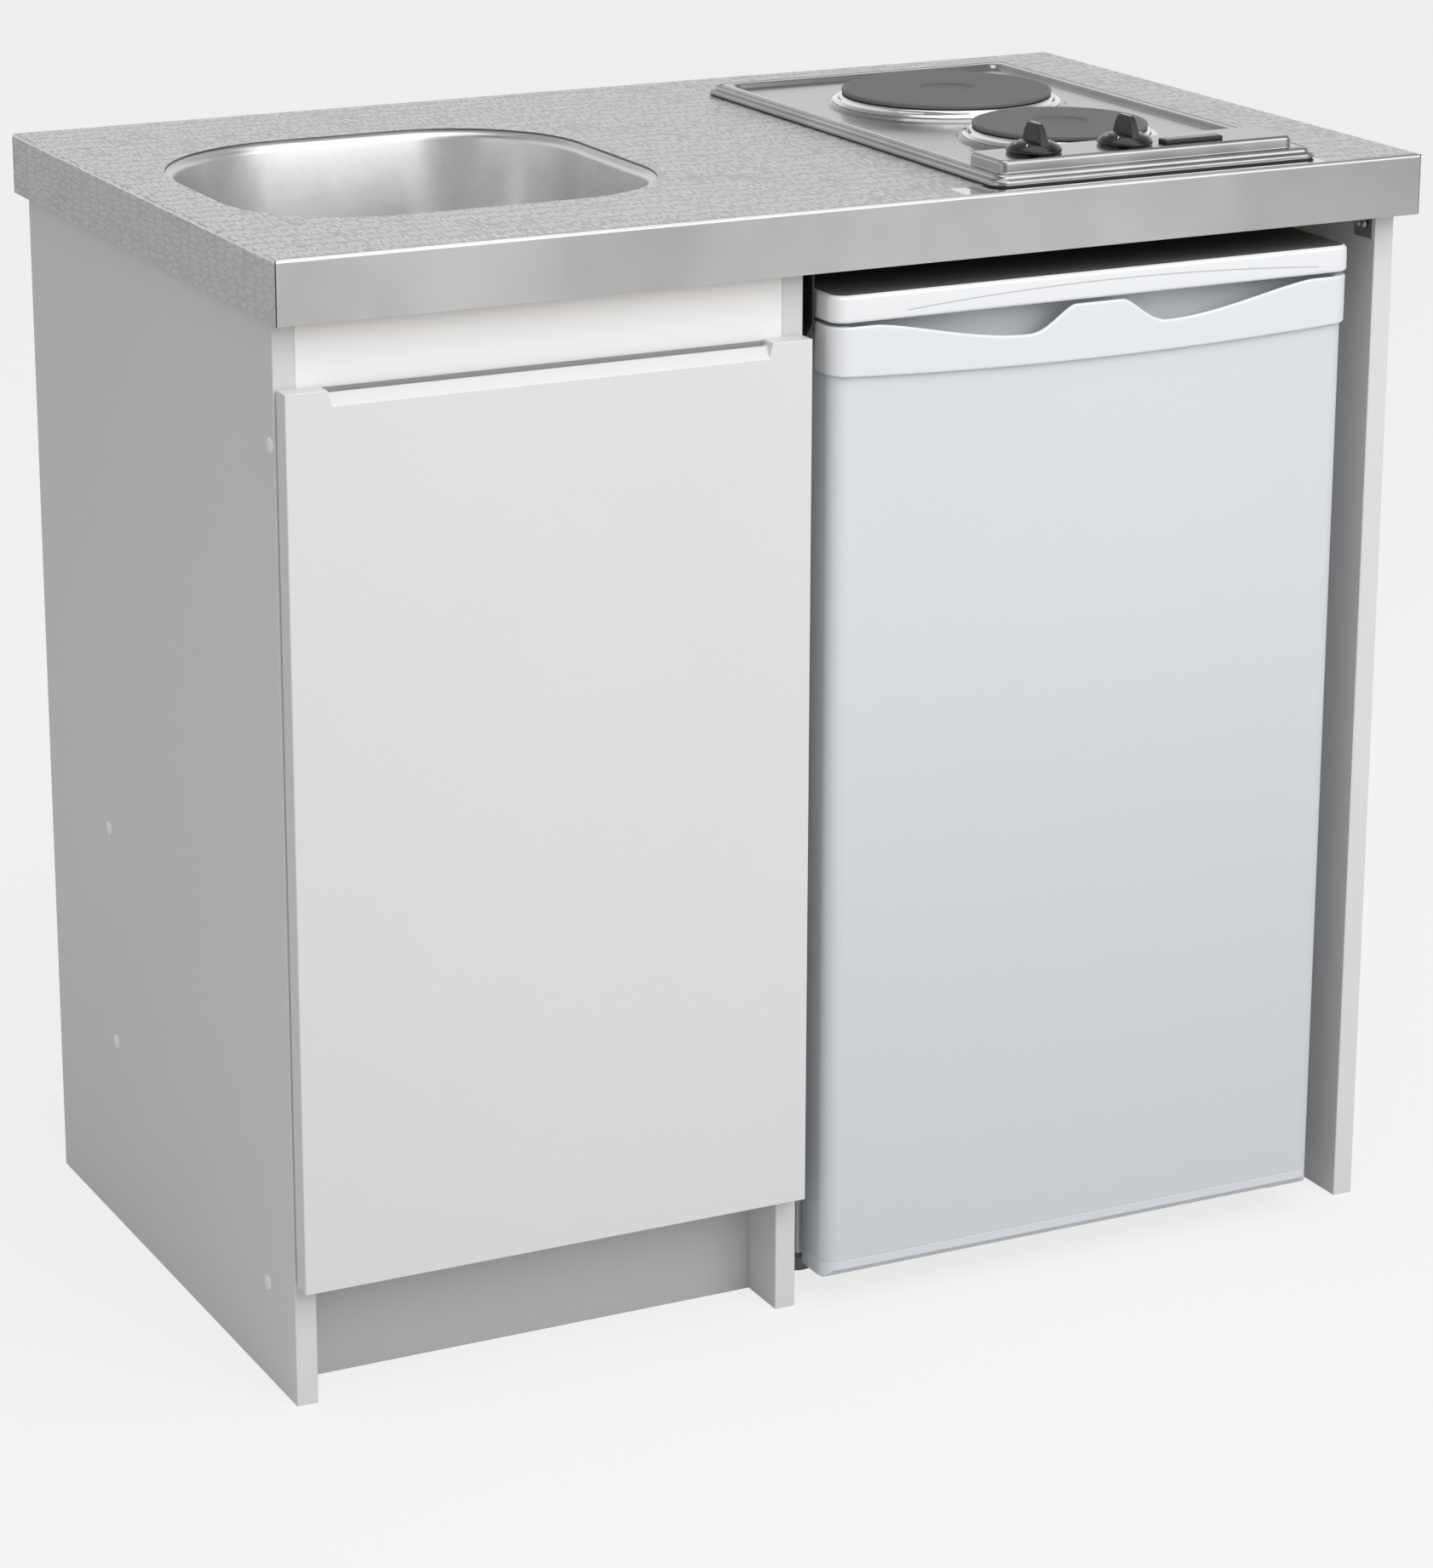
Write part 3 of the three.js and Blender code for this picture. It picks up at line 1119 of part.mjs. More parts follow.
function buildFridgeBack() {
  // A steel tray closes the bay below: its front edge lies under the body, and two skids stand on the floor.
  const bayY = [stepY + fridgeBackWall, fridgeBodyY[1]];
  const trayX = grown(fridgeX, -trayInset);
  const trayZ = [fridgeFootHeight - trayThickness, fridgeFootHeight];
  const skidY = [bayY[1] - skidFromRear - skidLength, bayY[1] - skidFromRear];
  const skid = (x) => block([x, x + skidWidth], skidY, [0, trayZ[1]]);
  place('compressor_tray', join(
    block(trayX, [bayY[0] - trayTongue, bayY[1]], trayZ),
    skid(trayX[0] + skidInset),
    skid(trayX[1] - skidInset - skidWidth),
  ), material.zincSteel);

  const shellX = (fridgeX[0] + fridgeX[1]) / 2 + 40;
  const shellY = (bayY[0] + bayY[1]) / 2;
  const base = trayZ[1];
  const shell = turned([
    [0, 12], [compressorRadius - 14, 12], [compressorRadius - 3, 22], [compressorRadius - 3, 70],
    [compressorRadius, 72], [compressorRadius, 78], [compressorRadius - 3, 80],
    [compressorRadius - 3, compressorHeight - 34], [compressorRadius - 16, compressorHeight - 12],
    [compressorRadius - 38, compressorHeight], [0, compressorHeight],
  ], shellX, shellY, base, 16);
  const feet = [-1, 1].flatMap((i) => [-1, 1].map((j) => disc(
    shellX + i * (compressorRadius - 22), shellY + j * (compressorRadius - 26), [base, base + 16], 9, 12)));
  place('compressor', join(shell, ...feet), material.blackSteel);

  // The condenser: one row of tubes tied by upright wires, held off the back on four stand-offs.
  const midX = (fridgeX[0] + fridgeX[1]) / 2;
  const y0 = fridgeBodyY[1] + condenserStandoff;
  const z0 = stepZ + condenserFromStep;
  const xs = [midX - condenserWidth / 2, midX + condenserWidth / 2];
  const tubeY = [y0, y0 + condenserTube];
  const wireY = [tubeY[1] - 0.5, tubeY[1] + condenserWire];
  let grid = null;
  for (let i = 0; i < condenserRuns; i += 1) {
    const z = z0 + (i * (condenserHeight - condenserTube)) / (condenserRuns - 1);
    const run = block(xs, tubeY, [z, z + condenserTube]);
    grid = grid ? join(grid, run) : run;
    if (i + 1 < condenserRuns) {
      const pitch = (condenserHeight - condenserTube) / (condenserRuns - 1);
      const x = i % 2 ? xs[0] : xs[1] - condenserTube;
      const turn = block([x, x + condenserTube], tubeY, [z, z + pitch + condenserTube]);
      grid = join(grid, turn);
    }
  }
  for (let i = 0; i < condenserWires; i += 1) {
    const x = xs[0] + 12 + (i * (condenserWidth - 24 - condenserWire)) / (condenserWires - 1);
    grid = join(grid, block([x, x + condenserWire], wireY, [z0 - 6, z0 + condenserHeight + 6]));
  }
  for (const x of [xs[0] + standoffInset, xs[1] - standoffInset - standoffWidth]) {
    for (const z of [z0 - 1, z0 + condenserHeight - condenserTube - 1]) {
      grid = join(grid, block([x, x + standoffWidth], [fridgeBodyY[1], y0 + 1], [z, z + condenserTube + 2]));
    }
  }
  place('condenser', grid, material.blackSteel);

  for (const [side, x] of [['left', fridgeX[0] + 24], ['right', fridgeX[1] - 24]]) {
    const y = fridgeBodyY[0] + 48;
    place(`fridge_foot_${side}`, turned([
      [0, 0], [footRadius - 2, 0], [footRadius, 2], [footRadius, 12], [9, 15], [9, fridgeFootHeight],
      [0, fridgeFootHeight],
    ], x, y, 0, 20), material.greyRubber);
  }
}

// ---------------------------------------------------------------- the whole unit
buildWorktop();
buildBasin();
buildWaste();
buildHobTop();
plates.forEach(buildPlate);
knobs.forEach(buildKnob);
buildCarcass();
buildBrackets();
buildDoor();
Object.keys(hingeHeights).forEach(buildHinge);
buildFridgeBody();
buildFridgeDoor();
buildFridgeHinges();
buildFridgeInside();
buildFridgeBack();

export default unit;
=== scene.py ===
"""A one-metre kitchenette: a stainless worktop with a pressed basin and a two-plate hob over a sink cupboard
and an under-counter refrigerator. Lengths are in millimetres until a piece is finished."""

import logging
import math
from dataclasses import dataclass
from enum import Enum
from typing import Any, Callable, Iterable, Sequence, Union

import bmesh
import bpy
from bmesh.types import BMEdge, BMFace, BMesh, BMVert
from mathutils import Matrix, Vector


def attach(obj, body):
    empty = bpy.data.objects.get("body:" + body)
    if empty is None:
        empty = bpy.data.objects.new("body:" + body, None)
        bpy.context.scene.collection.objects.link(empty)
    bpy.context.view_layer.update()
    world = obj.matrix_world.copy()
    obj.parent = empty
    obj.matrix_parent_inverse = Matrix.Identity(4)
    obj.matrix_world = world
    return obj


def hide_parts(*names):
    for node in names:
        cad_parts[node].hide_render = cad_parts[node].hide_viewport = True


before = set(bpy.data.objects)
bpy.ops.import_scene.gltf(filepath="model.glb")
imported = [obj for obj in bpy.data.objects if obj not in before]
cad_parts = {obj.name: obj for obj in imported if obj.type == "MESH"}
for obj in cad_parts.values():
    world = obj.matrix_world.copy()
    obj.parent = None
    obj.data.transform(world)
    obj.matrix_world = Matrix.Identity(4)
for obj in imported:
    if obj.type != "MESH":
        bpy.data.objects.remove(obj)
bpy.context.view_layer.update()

LOG = logging.getLogger("kitchenette")
MM = 0.001
UP = Vector((0, 0, 1))
Span = tuple[float, float]
Point = tuple[float, float, float]
Chooser = Callable[[BMFace], int]


class Body(str, Enum):
    """The bodies that the finished pieces ride on."""

    UNIT = "unit"
    CUPBOARD_DOOR = "cupboard_door"
    FRIDGE_DOOR = "fridge_door"
    KNOB_LEFT = "knob_left"
    KNOB_RIGHT = "knob_right"
    STRAINER = "strainer"


class Slot(str, Enum):
    """The record's material slots."""

    SATIN_STEEL = "satin_steel"
    BRIGHT_STEEL = "bright_steel"
    CAST_IRON = "cast_iron"
    BLACK_PLASTIC = "black_plastic"
    WHITE_BOARD = "white_board"
    DOOR_LACQUER = "door_lacquer"
    RAW_BOARD = "raw_board"
    FRIDGE_WHITE = "fridge_white"
    LINER_WHITE = "liner_white"
    ZINC_STEEL = "zinc_steel"
    BLACK_STEEL = "black_steel"
    GREY_RUBBER = "grey_rubber"
    WHITE_PIPE = "white_pipe"
    ALUMINIUM = "aluminium"
    SHELF_GLASS = "shelf_glass"


class Axis(Enum):
    """The direction in which a profile is drawn out."""

    X = 0
    Y = 1
    Z = 2


# ------------------------------------------------------------------ shader building
Value = Union["Wire", float]


def _operator(operation: str, reflected: bool = False) -> Callable[["Wire", Value], "Wire"]:
    """A method that adds one Math node for a wire and another value.

    Args:
        operation: The node's operation.
        reflected: Whether the other value comes first.

    Returns:
        The method.
    """
    def join(wire: "Wire", other: Value) -> "Wire":
        """Joins the two values."""
        return wire.math(operation, other, wire) if reflected else wire.math(operation, wire, other)

    return join


class Wire:
    """A socket whose arithmetic adds Math nodes to its graph; over and under give 1 or 0."""

    __add__ = __radd__ = _operator("ADD")
    __sub__ = _operator("SUBTRACT")
    __rsub__ = _operator("SUBTRACT", reflected=True)
    __mul__ = __rmul__ = _operator("MULTIPLY")
    __truediv__ = _operator("DIVIDE")
    __pow__ = _operator("POWER")
    over = _operator("GREATER_THAN")
    under = _operator("LESS_THAN")

    def __init__(self, graph: "Graph", socket: bpy.types.NodeSocket) -> None:
        """Wraps an output socket of the graph's material."""
        self.graph = graph
        self.socket = socket

    def __abs__(self) -> "Wire":
        """Size without its sign."""
        return self.math("ABSOLUTE", self)

    def math(self, operation: str, *values: Value) -> "Wire":
        """The result of one Math node on these values."""
        node = self.graph.node("ShaderNodeMath", {"operation": operation}, dict(enumerate(values)))
        return Wire(self.graph, node.outputs[0])

    def eased(self, low: float, high: float, start: float = 0.0, end: float = 1.0) -> "Wire":
        """A smooth step from start to end as this goes from low to high.

        Args:
            low: Where the step starts.
            high: Where it ends.
            start: Its value up to low.
            end: Its value from high on.

        Returns:
            The stepped value.
        """
        node = self.graph.node(
            "ShaderNodeMapRange",
            {"interpolation_type": "SMOOTHSTEP"},
            {"Value": self, "From Min": low, "From Max": high, "To Min": start, "To Max": end},
        )
        return Wire(self.graph, node.outputs[0])


class Graph:
    """The nodes of one material or of the world."""

    def __init__(self, owner: Union[bpy.types.Material, bpy.types.World]) -> None:
        """Starts with the owner's node tree emptied."""
        owner.use_nodes = True
        self.tree = owner.node_tree
        self.tree.nodes.clear()
        self._place: Wire | None = None

    def node(self, kind: str, settings: dict[str, Any] | None = None,
             inputs: dict[Union[str, int], Any] | None = None) -> bpy.types.Node:
        """Adds a node.

        Args:
            kind: The node's type.
            settings: Its properties, set before the inputs; "stops" fills a colour ramp.
            inputs: Values or wires by socket name or number.

        Returns:
            The new node.
        """
        node = self.tree.nodes.new(kind)
        for key, value in (settings or {}).items():
            if key == "stops":
                ramp = node.color_ramp
                while len(ramp.elements) < len(value):
                    ramp.elements.new(0.5)
                for element, (position, colour) in zip(ramp.elements, value):
                    element.position, element.color = position, (*colour, 1.0)
            else:
                setattr(node, key, value)
        for key, value in (inputs or {}).items():
            if isinstance(value, Wire):
                self.tree.links.new(value.socket, node.inputs[key])
            else:
                node.inputs[key].default_value = value
        return node

    def place(self) -> Wire:
        """The point on the piece, in metres."""
        if self._place is None:
            self._place = Wire(self, self.node("ShaderNodeTexCoord").outputs["Object"])
        return self._place

    def mapped(self, scale: Point, vector: Wire | None = None) -> Wire:
        """The point on the piece, or another vector, stretched for a pattern."""
        node = self.node("ShaderNodeMapping", {}, {"Vector": vector or self.place(), "Scale": scale})
        return Wire(self, node.outputs[0])

    def cells(self, vector: Wire, scale: float, feature: str = "F1", randomness: float = 1.0) -> Wire:
        """A Voronoi pattern's distance, to the cell's point or to its edge."""
        node = self.node("ShaderNodeTexVoronoi", {"feature": feature},
                         {"Vector": vector, "Scale": scale, "Randomness": randomness})
        return Wire(self, node.outputs["Distance"])

    def warped(self, scale: float, reach: float) -> Wire:
        """The point on the piece, pushed about by noise of this scale by up to this many millimetres."""
        noise = self.node("ShaderNodeTexNoise", {}, {"Vector": self.place(), "Scale": scale, "Detail": 1.0})
        push = self.node("ShaderNodeVectorMath", {"operation": "MULTIPLY_ADD"},
                         {0: Wire(self, noise.outputs["Color"]), 1: (reach * MM,) * 3, 2: self.place()})
        return Wire(self, push.outputs[0])

    def along(self, vector: Wire | None = None) -> tuple[Wire, Wire, Wire]:
        """The X, Y and Z of the point, or of another vector."""
        node = self.node("ShaderNodeSeparateXYZ", {}, {0: vector or self.place()})
        return tuple(Wire(self, output) for output in node.outputs)

    def noise(self, scale: float, detail: float = 2.0, stretch: Point = (1, 1, 1),
              roughness: float = 0.5) -> Wire:
        """Soft noise from 0 to 1.

        Args:
            scale: Waves per metre.
            detail: Octaves.
            stretch: How the pattern is drawn out along each axis.
            roughness: The weight of the finer octaves.

        Returns:
            The noise value.
        """
        vector = self.place() if stretch == (1, 1, 1) else self.mapped(stretch)
        node = self.node("ShaderNodeTexNoise", {},
                         {"Vector": vector, "Scale": scale, "Detail": detail, "Roughness": roughness})
        return Wire(self, node.outputs[0])

    def colour(self, factor: Value, first: Point, second: Point) -> Wire:
        """A colour between two, by a factor."""
        node = self.node("ShaderNodeMix", {"data_type": "RGBA"},
                         {0: factor, 6: self._solid(first), 7: self._solid(second)})
        return Wire(self, node.outputs[2])

    @staticmethod
    def _solid(colour: Union[Point, Wire]) -> Any:
        """A colour as a socket value, or a wire as it is."""
        return colour if isinstance(colour, Wire) else (*colour, 1.0)

    def bump(self, height: Wire, depth: float, strength: float = 1.0, under: Wire | None = None) -> Wire:
        """A Bump node.

        Args:
            height: The relief, from 0 to 1.
            depth: How deep the relief is, in millimetres.
            strength: How much of it shows.
            under: A normal to lay it over.

        Returns:
            The bent normal.
        """
        inputs = {"Height": height, "Distance": depth * MM, "Strength": strength}
        if under is not None:
            inputs["Normal"] = under
        return Wire(self, self.node("ShaderNodeBump", {}, inputs).outputs[0])

    def surface(self, **sockets: Any) -> None:
        """Ends the material in a Principled BSDF; an underscore in a name stands for a space."""
        inputs = {key.replace("_", " "): value for key, value in sockets.items()}
        inputs["Base Color"] = self._solid(inputs["Base Color"])
        self.end(self.node("ShaderNodeBsdfPrincipled", {}, inputs))

    def end(self, shader: bpy.types.Node, kind: str = "ShaderNodeOutputMaterial") -> None:
        """Joins a shader to the graph's output."""
        self.tree.links.new(shader.outputs[0], self.node(kind).inputs[0])


# ------------------------------------------------------------------ finishes
@dataclass(frozen=True)
class Finish:
    """A finish that a piece can take, and the record's slot that it belongs to."""

    name: str
    slot: Slot
    colour: Point

    def dress(self, graph: Graph) -> None:
        """Builds the finish's nodes."""
        raise NotImplementedError

    def material(self) -> bpy.types.Material:
        """The finish's material, made when it is first asked for."""
        known = bpy.data.materials.get(self.name)
        if known is None:
            known = bpy.data.materials.new(self.name)
            self.dress(Graph(known))
        return known

    def darker(self, share: float) -> Point:
        """The finish's colour with this share of its light."""
        return tuple(part * share for part in self.colour)

    def toned(self, graph: Graph, factor: Wire, low: float, high: float) -> Wire:
        """The finish's colour between two shares of its light, by a factor."""
        return graph.colour(factor, self.darker(low), self.darker(high))


@dataclass(frozen=True)
class BrushedSteel(Finish):
    """Satin steel, ground along one axis, with soft cloudy patches."""

    gloss: float = 0.3
    grain: Point = (1.0, 40.0, 40.0)
    cloud: float = 9.0

    def dress(self, graph: Graph) -> None:
        """Fine ground lines and slow clouds in tone and gloss."""
        lines = graph.noise(60, 3, self.grain, 0.6)
        clouds = graph.noise(self.cloud, 3, roughness=0.55).eased(0.3, 0.7)
        tone = lines * 0.35 + clouds * 0.65
        graph.surface(
            Base_Color=self.toned(graph, tone, 0.86, 1.14),
            Metallic=1.0,
            Roughness=lines * self.gloss * 0.16 + clouds * self.gloss * 0.24 + self.gloss * 0.8,
            Normal=graph.bump(lines, 0.02, 0.35),
        )


@dataclass(frozen=True)
class EmbossedSteel(Finish):
    """Steel rolled with a leather-like grain: small raised cells parted by cracks across the sheet."""

    smooth_strip: tuple[Span, Span] = ((77, 411), (-301, -268))
    side_face: float = 499.2
    side_calm: float = 0.6
    stretch: Point = (1.0, 0.2, 0.8)
    scatter: float = 0.7
    cells: float = 260.0
    row: float = 26.0
    depth: float = 0.7

    def dress(self, graph: Graph) -> None:
        """Narrow cells in wavy rows parted by creases, with painted shade in the cracks and creases; the
        strip in front of the hob stays plain.
        """
        x, y, _ = graph.along()
        sway = graph.noise(11, 2)
        point = graph.warped(20, 10.0)
        drawn = graph.mapped(self.stretch, point)
        crack = graph.cells(drawn, self.cells, "DISTANCE_TO_EDGE", self.scatter).eased(0.0, 0.24)
        dome = 1 - graph.cells(drawn, self.cells, "F1", self.scatter)
        rows = graph.along(point)[1] * (math.pi / (self.row * MM)) + sway * 7.0 + x * 9.0
        crease = abs(rows.math("SINE", rows)).eased(0.0, 0.2)
        crease = 1 - (1 - crease) * graph.noise(70, 2).eased(0.4, 0.56)
        relief = crack * 0.34 + dome * 0.34 + crease * 0.28 + sway * 0.04
        (x0, x1), (y0, y1) = self.smooth_strip
        across = x.over(x0 * MM) * x.under(x1 * MM)
        plain = across * y.over(y0 * MM) * y.under(y1 * MM)
        flat = 1 - abs(x).over(self.side_face * MM) * self.side_calm
        # painted shade: the tone is darker in the grain's cracks and creases; the bump gives their relief
        tone = (crack * 0.55 + crease * 0.25 + sway * 0.2) * flat + (1 - flat) * 0.72
        rolled = self.toned(graph, tone, 0.5, 1.14)
        graph.surface(
            Base_Color=graph.colour(plain, rolled, self.darker(0.9)),
            Metallic=1.0,
            Roughness=(1 - plain) * (0.35 + sway * 0.08) + plain * 0.05,
            Normal=graph.bump(relief * flat * (1 - plain), self.depth, 1.0),
        )


@dataclass(frozen=True)
class BowlSteel(Finish):
    """The drawn steel of the basin: satin and mottled."""

    def dress(self, graph: Graph) -> None:
        """Mottling in two sizes with faint scouring."""
        mottle = graph.noise(42, 3, roughness=0.55)
        broad = graph.noise(7, 2)
        scour = graph.noise(130, 2, (1.0, 5.0, 1.0))
        tone = mottle * 0.5 + broad * 0.3 + scour * 0.2
        graph.surface(
            Base_Color=self.toned(graph, tone, 0.78, 1.14),
            Metallic=1.0,
            Roughness=mottle * 0.12 + scour * 0.03 + 0.24,
            Normal=graph.bump(mottle * 0.7 + scour * 0.3, 0.03, 0.25),
        )


@dataclass(frozen=True)
class PolishedSteel(Finish):
    """Bright pressed steel with faint wiping marks."""

    gloss: float = 0.12

    def dress(self, graph: Graph) -> None:
        """Wiping marks in the gloss, hardly any relief."""
        wipes = graph.noise(45, 4, (1.0, 2.6, 1.0), 0.6)
        film = graph.noise(11, 2)
        graph.surface(
            Base_Color=self.toned(graph, film, 0.92, 1.05),
            Metallic=1.0,
            Roughness=wipes * 0.08 + film * 0.05 + (self.gloss - 0.05),
            Normal=graph.bump(wipes, 0.015, 0.3),
        )


@dataclass(frozen=True)
class CastPlate(Finish):
    """A cast hotplate: grey-black, turned in rings about its own middle, with a painted highlight that
    lightens the high rim.
    """

    centre: Point = (0, 0, 0)
    radius: float = 90.0

    def dress(self, graph: Graph) -> None:
        """Turning rings, casting grain and the rim's painted highlight."""
        x, y, _ = graph.along()
        away = ((x - self.centre[0] * MM) ** 2 + (y - self.centre[1] * MM) ** 2) ** 0.5
        rings = (away * 3600).math("SINE", away * 3600) * 0.5 + 0.5
        casting = graph.noise(420, 4, roughness=0.7)
        smear = graph.noise(18, 3)
        # painted highlight: the outer 5 mm of the top turns halfway to a lighter tone, standing in for the
        # rounded edge catching the light
        rim = away.eased((self.radius - 5) * MM, self.radius * MM)
        worn = self.toned(graph, smear * 0.7 + casting * 0.3, 0.8, 1.2)
        graph.surface(
            Base_Color=graph.colour(rim * 0.5, worn, self.darker(1.5)),
            Metallic=0.35,
            Roughness=casting * 0.16 + smear * 0.1 + 0.42,
            Normal=graph.bump(casting * 0.7 + rings * 0.3, 0.06, 0.5),
        )


@dataclass(frozen=True)
class Moulding(Finish):
    """Moulded or lacquered surface with a faint skin and a coat."""

    gloss: float = 0.3
    skin: float = 260.0
    depth: float = 0.03
    coat: float = 0.0
    tint: float = 0.03

    def tinted(self, graph: Graph, factor: Wire) -> Wire:
        """The colour, from a little darker to a little lighter."""
        return self.toned(graph, factor, 1 - self.tint, 1 + self.tint)

    def dress(self, graph: Graph) -> None:
        """A fine skin, slow tone changes and gloss that follows them."""
        skin = graph.noise(self.skin, 3, roughness=0.6)
        slow = graph.noise(5, 3)
        graph.surface(
            Base_Color=self.tinted(graph, slow * 0.7 + skin * 0.3),
            Roughness=skin * 0.08 + slow * 0.06 + (self.gloss - 0.07),
            Coat_Weight=self.coat,
            Coat_Roughness=0.12,
            Normal=graph.bump(skin, self.depth, 0.4),
        )


@dataclass(frozen=True)
class EnamelDoor(Moulding):
    """The refrigerator's painted skins, with painted shade that greys them towards the floor; line draws an
    arc on the cap's front.

    The line is given by its middle, crest, fall and half its length.
    """

    line: tuple[float, float, float, float] | None = None
    line_width: float = 0.9
    line_colour: Point = (0.33, 0.34, 0.36)
    front: float = -290.0
    painted_floor_shade: Point = (0.9, 0.915, 0.93)

    def dress(self, graph: Graph) -> None:
        """Paint with its orange-peel skin, painted shade low down, and, where the piece has one, a shallow
        drawn line.
        """
        x, y, z = graph.along()
        skin = graph.noise(self.skin, 2, roughness=0.5)
        slow = graph.noise(3.5, 2)
        # painted shade: from 0.75 m down towards the floor the colour greys, standing in for the dimmer light
        # low down
        low = z.eased(0.08, 0.75, 1.0, 0.0)
        painted_low_shade = tuple(part * share for part, share in zip(self.colour, self.painted_floor_shade))
        paint = graph.colour(low, self.tinted(graph, slow), painted_low_shade)
        relief = skin
        if self.line is not None:
            middle, crest, fall, end = self.line
            run = (x - middle * MM) / (end * MM)
            arc = z - (crest * MM - run * run * (fall * MM))
            groove = abs(arc).under(self.line_width / 2 * MM) * abs(run).under(1.0) * y.under(self.front * MM)
            paint = graph.colour(groove * 0.75, paint, self.line_colour)
            relief = skin - groove
        graph.surface(
            Base_Color=paint,
            Roughness=skin * 0.06 + slow * 0.05 + (self.gloss - 0.05),
            Coat_Weight=self.coat,
            Coat_Roughness=0.15,
            Normal=graph.bump(relief, self.depth, 0.35),
        )


@dataclass(frozen=True)
class CoatedBoard(Finish):
    """Melamine-faced board: pale paper with a fine pearl skin and a few specks."""

    gloss: float = 0.42

    def dress(self, graph: Graph) -> None:
        """Pearl skin, specks and slow unevenness."""
        pearl = graph.noise(700, 3, roughness=0.7)
        slow = graph.noise(4, 3)
        specks = graph.noise(950, 1).over(0.72)
        face = self.toned(graph, slow * 0.6 + pearl * 0.4, 0.955, 1.03)
        graph.surface(
            Base_Color=graph.colour(specks * 0.25, face, self.darker(0.8)),
            Roughness=pearl * 0.12 + (self.gloss - 0.06),
            Normal=graph.bump(pearl, 0.02, 0.35),
        )


@dataclass(frozen=True)
class RawChip(Finish):
    """The worktop's raw chipboard: pressed chips of several tones."""

    def dress(self, graph: Graph) -> None:
        """Chips as cells, laid flat."""
        chip = graph.cells(graph.mapped((1, 1, 2.6)), 190.0)
        dust = graph.noise(600, 3)
        graph.surface(
            Base_Color=self.toned(graph, chip * 0.8 + dust * 0.2, 1.15, 0.7),
            Roughness=dust * 0.1 + 0.8,
            Normal=graph.bump(chip, 0.3, 0.5),
        )


@dataclass(frozen=True)
class PlatedSteel(Finish):
    """Zinc-plated, painted or mill-finish metal with a mottled skin."""

    gloss: float = 0.35
    metal: float = 1.0

    def dress(self, graph: Graph) -> None:
        """Spangle-like mottling."""
        spangle = graph.noise(150, 4, roughness=0.65)
        graph.surface(
            Base_Color=self.toned(graph, spangle, 0.8, 1.15),
            Metallic=self.metal,
            Roughness=spangle * 0.16 + (self.gloss - 0.08),
            Normal=graph.bump(spangle, 0.04, 0.4),
        )


@dataclass(frozen=True)
class ClearGlass(Finish):
    """Shelf glass, faintly green, with a little film on it."""

    def dress(self, graph: Graph) -> None:
        """Clear glass with a trace of film."""
        film = graph.noise(30, 3)
        graph.surface(
            Base_Color=graph.colour(film, self.darker(0.96), self.colour),
            Roughness=film * 0.05 + 0.02,
            Transmission_Weight=0.9,
            IOR=1.5,
            Normal=graph.bump(film, 0.01, 0.2),
        )


EMBOSSED = EmbossedSteel("embossed_worktop_steel", Slot.SATIN_STEEL, (0.78, 0.78, 0.785))
# painted shade: the front band is the same steel sheet as the top, in a darker colour for its front face
FRONT_BAND_PAINTED_SHADE = BrushedSteel("satin_band_shade_paint", Slot.SATIN_STEEL, (0.63, 0.63, 0.635), gloss=0.33, cloud=4.0)
BOWL = BowlSteel("drawn_bowl_steel", Slot.SATIN_STEEL, (0.74, 0.745, 0.75))
# painted shade and painted reflection: a dark colour on the openings' turned-down lips, for their shade and
# the dark bowl they mirror
LIP_PAINTED_SHADE = BrushedSteel("opening_lip_shade_paint", Slot.SATIN_STEEL, (0.2, 0.2, 0.2), gloss=0.4)
SEAM = BrushedSteel("folded_seam", Slot.SATIN_STEEL, (0.05, 0.05, 0.05), gloss=0.5)
HOB_STEEL = BrushedSteel("pressed_hob_steel", Slot.BRIGHT_STEEL, (0.42, 0.418, 0.414), gloss=0.2,
                         grain=(24.0, 1.0, 24.0), cloud=14.0)
TRIM_STEEL = PolishedSteel("polished_trim_steel", Slot.BRIGHT_STEEL, (0.78, 0.777, 0.77), gloss=0.07)
WASTE_STEEL = PolishedSteel("waste_steel", Slot.BRIGHT_STEEL, (0.66, 0.66, 0.66), gloss=0.18)
SEAL_RUBBER = Moulding("hob_seal_rubber", Slot.BLACK_PLASTIC, (0.018, 0.018, 0.018), gloss=0.6)
KNOB_PLASTIC = Moulding("knob_plastic", Slot.BLACK_PLASTIC, (0.006, 0.006, 0.007), gloss=0.24, coat=0.1,
                        tint=0.15)
BADGE_PLASTIC = Moulding("badge_plastic", Slot.BLACK_PLASTIC, (0.02, 0.02, 0.021), gloss=0.37)
BADGE_FACE = Moulding("badge_face", Slot.BLACK_PLASTIC, (0.16, 0.16, 0.165), gloss=0.3)
MARK_PAINT = Moulding("mark_paint", Slot.WHITE_BOARD, (0.62, 0.62, 0.61), gloss=0.5)
SIDE_BOARD = CoatedBoard("side_board", Slot.WHITE_BOARD, (0.66, 0.66, 0.66))
# painted light and painted shade: the rails and plinth are the same white board as the sides, the rails
# lighter to offset the worktop's shadow, the plinth darker low down
RAIL_PAINTED_LIGHT = CoatedBoard("rail_light_paint", Slot.WHITE_BOARD, (0.88, 0.88, 0.88), gloss=0.38)
PLINTH_PAINTED_SHADE = CoatedBoard("plinth_shade_paint", Slot.WHITE_BOARD, (0.52, 0.52, 0.52))
CAP_PLASTIC = Moulding("cover_cap_plastic", Slot.WHITE_BOARD, (0.8, 0.8, 0.79), gloss=0.37)
DOOR_PAINT = Moulding("door_lacquer_skin", Slot.DOOR_LACQUER, (0.67, 0.67, 0.668), gloss=0.37, coat=0.15)
